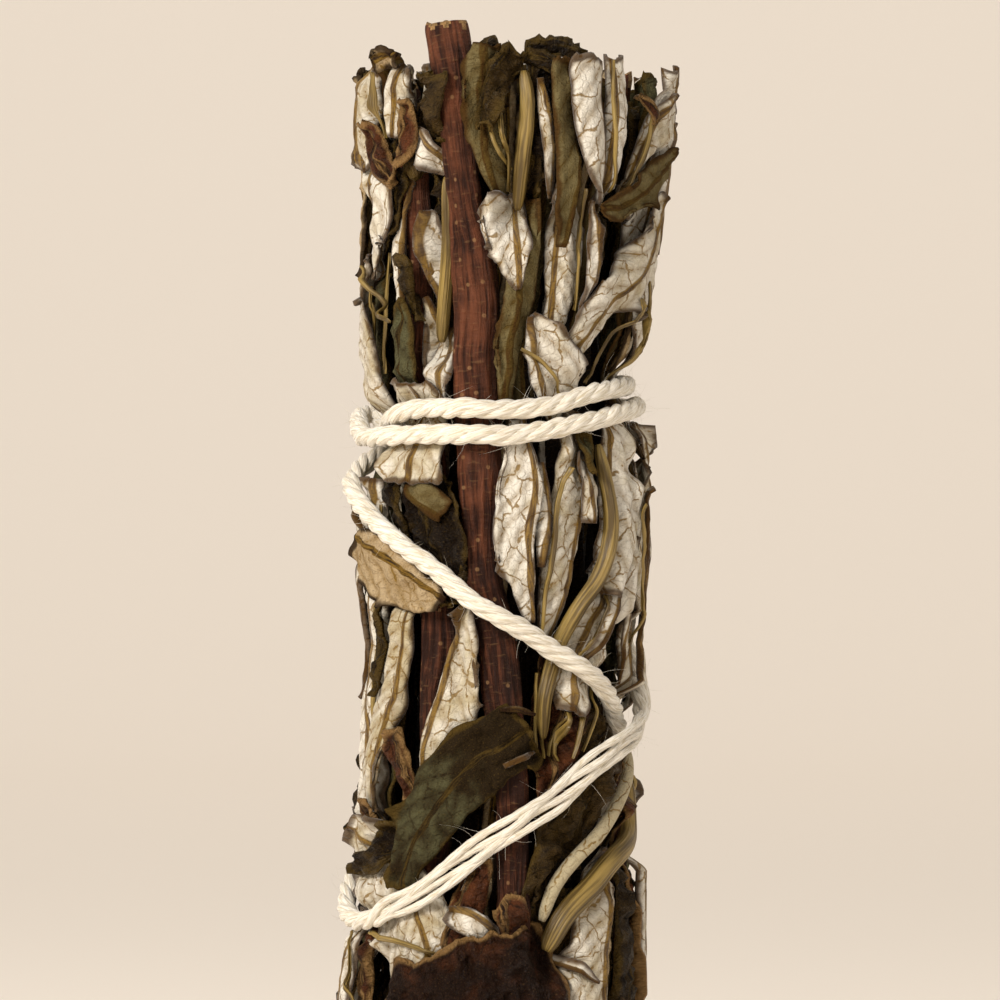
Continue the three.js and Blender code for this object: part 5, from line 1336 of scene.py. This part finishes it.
COLOURS = {
    "felt": ("#d6d0c3", "Felt of the pale leaves"),
    "felt_shade": ("#aea182", "Felt where it is thin"),
    "vein": ("#775a20", "Veins and midribs"),
    "vein_dark": ("#40290c", "Rolled margins of the pale leaves"),
    "olive": ("#6f6342", "Olive leaves"),
    "olive_shade": ("#3a2c12", "Olive leaves, shade"),
    "green": ("#5d5a3e", "Upper side of the grey-green leaves"),
    "green_shade": ("#281d0d", "Grey-green leaves, shade"),
    "dark": ("#4c3a1c", "Shrivelled leaves"),
    "dark_shade": ("#160c04", "Shrivelled leaves, shade"),
    "brown": ("#5a3119", "Leathery leaves"),
    "brown_edge": ("#8a6a40", "Torn margins of the leathery leaves"),
    "brown_shade": ("#1c0d05", "Leathery leaves, shade"),
    "tan": ("#b09a78", "Tan leaves"),
    "tan_shade": ("#70562f", "Tan leaves, shade"),
    "bark": ("#653924", "Bark"),
    # Bark in the grooves: partly its own colour, partly painted shade.
    "bark_shade": ("#261108", "Grooves of the bark"),
    "pore": ("#a07a52", "Pores of the bark"),
    "wood": ("#9c7748", "Cut wood"),
    "stalk": ("#8f773e", "Stalks"),
    "stalk_shade": ("#4f3d18", "Stalks, shade"),
    "twine": ("#efe8da", "Cotton twine"),
    # Painted shade between the twine's fibres.
    "twine_shade": ("#c9bb9f", "Cotton twine, between its fibres"),
    "backdrop": ("#fbf3e8", "Backdrop"),
}


class StickColours(bpy.types.PropertyGroup):
    """The colours of the leaves, stems and twine."""

    __annotations__ = {
        key: bpy.props.FloatVectorProperty(name=label, description=f"{label}, base colour", subtype="COLOR",
                                           size=3, min=0, max=1, default=linear(code))
        for key, (code, label) in COLOURS.items()
    }


class StickSizes(bpy.types.PropertyGroup):
    """The working sizes that can be changed without laying the bundle again."""

    fibres: bpy.props.IntProperty(name="Loose fibres", description="How many fibres stand off the twine",
                                  default=1300, min=0, max=4000)
    lens: bpy.props.FloatProperty(name="Lens", description="Focal length of the camera, for a 36 mm sensor",
                                  default=276.5, min=50, max=500, unit="CAMERA")
    key_power: bpy.props.FloatProperty(name="Key light", description="Power of the light from the front left",
                                       default=4.2, min=0, unit="POWER")
    fill_power: bpy.props.FloatProperty(name="Fill light", description="Power of the light from the right",
                                        default=0.9, min=0, unit="POWER")


class STICK_OT_stems(bpy.types.Operator):
    """Three woody stems, and the stalks that lie over the leaves"""

    bl_idname = "stick.stems"
    bl_label = "Stems and stalks"

    def execute(self, context):
        ready = finishes()
        plan = layout()
        for seed, (name, (finish, rows)) in enumerate({**plan["stems"], **plan["stalks"]}.items()):
            build(name, stem_patches(finish, rows, 90 + 7 * seed), ready, (name,))
        return {"FINISHED"}


class STICK_OT_leaves(bpy.types.Operator):
    """The leaves of the front, and the scraps and bare ribs between them"""

    bl_idname = "stick.leaves"
    bl_label = "Leaves"

    def execute(self, context):
        ready = finishes()
        between = {}
        for leaf, outer, inner in layout()["leaves"]:
            if leaf.name.startswith("leaf_"):
                build(leaf.name, [blade_patch(leaf, outer, inner)], ready, (leaf.name,))
            elif leaf.name in ("scrap", "rib"):
                between.setdefault(leaf.finish, []).append(blade_patch(leaf, outer, inner))
        for finish, patches in between.items():
            build(f"scraps_{finish}", patches, ready, ())
        return {"FINISHED"}


class STICK_OT_sprigs(bpy.types.Operator):
    """The three sprigs that close the back and sides"""

    bl_idname = "stick.sprigs"
    bl_label = "Back sprigs"

    def execute(self, context):
        ready = finishes()
        plan = layout()
        for k, stem in enumerate(plan["sprig_stems"]):
            name = f"sprig_back_{k + 1}"
            patches = stem_patches("bark", stem, 150 + k, 0.8)
            patches += [blade_patch(*one) for one in plan["leaves"] if one[0].name == name]
            build(name, patches, ready, (name,))
        return {"FINISHED"}


class STICK_OT_inner_leaves(bpy.types.Operator):
    """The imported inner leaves, with the stem at their heart and their cut ends on top"""

    bl_idname = "stick.inner_leaves"
    bl_label = "Inner leaves"

    def execute(self, context):
        ready = finishes()
        patches = core_patches()
        patches += [blade_patch(*one) for one in layout()["leaves"] if one[0].name == "inner_leaves"]
        build("inner_leaves", patches, ready, ("inner_leaves",))
        return {"FINISHED"}


class STICK_OT_twine(bpy.types.Operator):
    """The twine with its knot, its two tails and its loose fibres"""

    bl_idname = "stick.twine"
    bl_label = "Twine"

    def execute(self, context):
        sizes, ready = context.scene.stick_sizes, finishes()
        rows, _ = resample(layout()["twine"], lambda total: round(total / TWINE_STEP))
        angle, z, r, _ = rows.T
        a, b = LOOSE_STRETCH
        loose = np.clip((angle - a) / LOOSE_FADE, 0, 1) * np.clip((b - angle) / LOOSE_FADE, 0, 1)
        strands = plied(place(angle, z, r), loose) + plied(knot_line(), 0)
        out = girth(KNOT["height"]) + KNOT["proud"]
        for tail in TAILS:
            angle, z = resample(tail, TAIL_ROWS)[0].T
            r = np.minimum(girth(z) + BULGE + TWINE_RADIUS + 0.25, out + 1)
            strands += plied(place(angle, z, r), 0, TAIL_SPLAY)
        fibres = hair_patch(strands, sizes.fibres, np.random.default_rng(SEED + 2))
        build("twine", strands, ready, ("twine",))
        build("twine_fibres", [fibres], ready, ())
        return {"FINISHED"}


class STICK_OT_stage(bpy.types.Operator):
    """The swept backdrop, the lights and the camera"""

    bl_idname = "stick.stage"
    bl_label = "Backdrop, lights and camera"

    def execute(self, context):
        sizes = context.scene.stick_sizes
        turn = np.linspace(0, np.pi / 2, 24)
        wall = BEND_START + BEND_RADIUS
        y = np.concatenate([[PAPER_FRONT, -0.4], BEND_START + BEND_RADIUS * np.sin(turn), [wall] * 2])
        z = np.concatenate([[0, 0], BEND_RADIUS - BEND_RADIUS * np.cos(turn), [PAPER_TOP / 2, PAPER_TOP]])
        x = np.linspace(-PAPER_HALF, PAPER_HALF, 9)
        points = np.stack([np.tile(x, len(y)), np.repeat(y, len(x)), np.repeat(z, len(x))], -1)
        quads = grid_faces(len(y), len(x))
        mesh = bpy.data.meshes.new("backdrop")
        mesh.from_pydata(points.tolist(), [], quads.tolist())
        mesh.shade_smooth()
        backdrop = bpy.data.objects.new("backdrop", mesh)
        context.collection.objects.link(backdrop)
        # Seamless paper roll: matt, one even warm tone.
        material = bpy.data.materials.new("Seamless paper")
        material.use_nodes = True
        shader = material.node_tree.nodes["Principled BSDF"]
        shader.inputs["Base Color"].default_value = (*context.scene.stick_colours.backdrop, 1)
        shader.inputs["Roughness"].default_value = 1.0
        shader.inputs["Specular IOR Level"].default_value = 0.0
        mesh.materials.append(material)

        for name, place_at, aim, size, power, colour in (
            ("key", (-0.34, -0.46, 0.36), (0, 0, 0.04), 0.22, sizes.key_power, "#fffaf4"),
            ("fill", (0.5, -0.5, 0.1), (0, 0, 0.04), 0.5, sizes.fill_power, "#fffaf6"),
            ("wall light", (0, 0.85, 1.1), (0, 1.5, 0.2), 0.6, WALL_POWER, "#fffaf6"),
        ):
            light = bpy.data.lights.new(name, "AREA")
            light.shape, light.size, light.energy, light.color = "DISK", size, power, linear(colour)
            lamp = bpy.data.objects.new(name, light)
            lamp.location = place_at
            away = mathutils.Vector(np.array(place_at) - aim)
            lamp.rotation_euler = away.to_track_quat("Z", "Y").to_euler()
            context.collection.objects.link(lamp)
        world = bpy.data.worlds.new("Room")
        world.use_nodes = True
        sky = world.node_tree.nodes["Background"]
        sky.inputs["Color"].default_value = (*linear(ROOM_COLOUR), 1)
        sky.inputs["Strength"].default_value = ROOM_STRENGTH
        context.scene.world = world
        context.scene.view_settings.view_transform = "Standard"

        lens = bpy.data.cameras.new("camera")
        lens.lens, lens.sensor_width, lens.clip_start, lens.clip_end = sizes.lens, SENSOR_WIDTH, 0.01, 10
        camera = bpy.data.objects.new("camera", lens)
        camera.location = CAMERA_PLACE
        camera.rotation_euler = (math.pi / 2, 0, 0)
        context.collection.objects.link(camera)
        context.scene.camera = camera
        return {"FINISHED"}


OPERATORS = (STICK_OT_stems, STICK_OT_leaves, STICK_OT_sprigs, STICK_OT_inner_leaves, STICK_OT_twine,
             STICK_OT_stage)


class STICK_PT_panel(bpy.types.Panel):
    """Builds the smudge stick piece by piece."""

    bl_idname = "STICK_PT_panel"
    bl_label = "Smudge Stick"
    bl_space_type = "VIEW_3D"
    bl_region_type = "UI"
    bl_category = "Smudge Stick"

    def draw(self, context):
        column = self.layout.column()
        for group in (context.scene.stick_sizes, context.scene.stick_colours):
            for key in group.bl_rna.properties.keys():
                if key not in ("rna_type", "name"):
                    column.prop(group, key)
        for operator in OPERATORS:
            column.operator(operator.bl_idname)


CLASSES = (StickColours, StickSizes, *OPERATORS, STICK_PT_panel)


def register():
    for one in CLASSES:
        bpy.utils.register_class(one)
    bpy.types.Scene.stick_colours = bpy.props.PointerProperty(type=StickColours)
    bpy.types.Scene.stick_sizes = bpy.props.PointerProperty(type=StickSizes)


def unregister():
    del bpy.types.Scene.stick_sizes
    del bpy.types.Scene.stick_colours
    for one in reversed(CLASSES):
        bpy.utils.unregister_class(one)


def main():
    """Registers the add-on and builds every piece."""
    register()
    for operator in OPERATORS:
        group, name = operator.bl_idname.split(".")
        getattr(getattr(bpy.ops, group), name)()


if __name__ == "__main__":
    main()
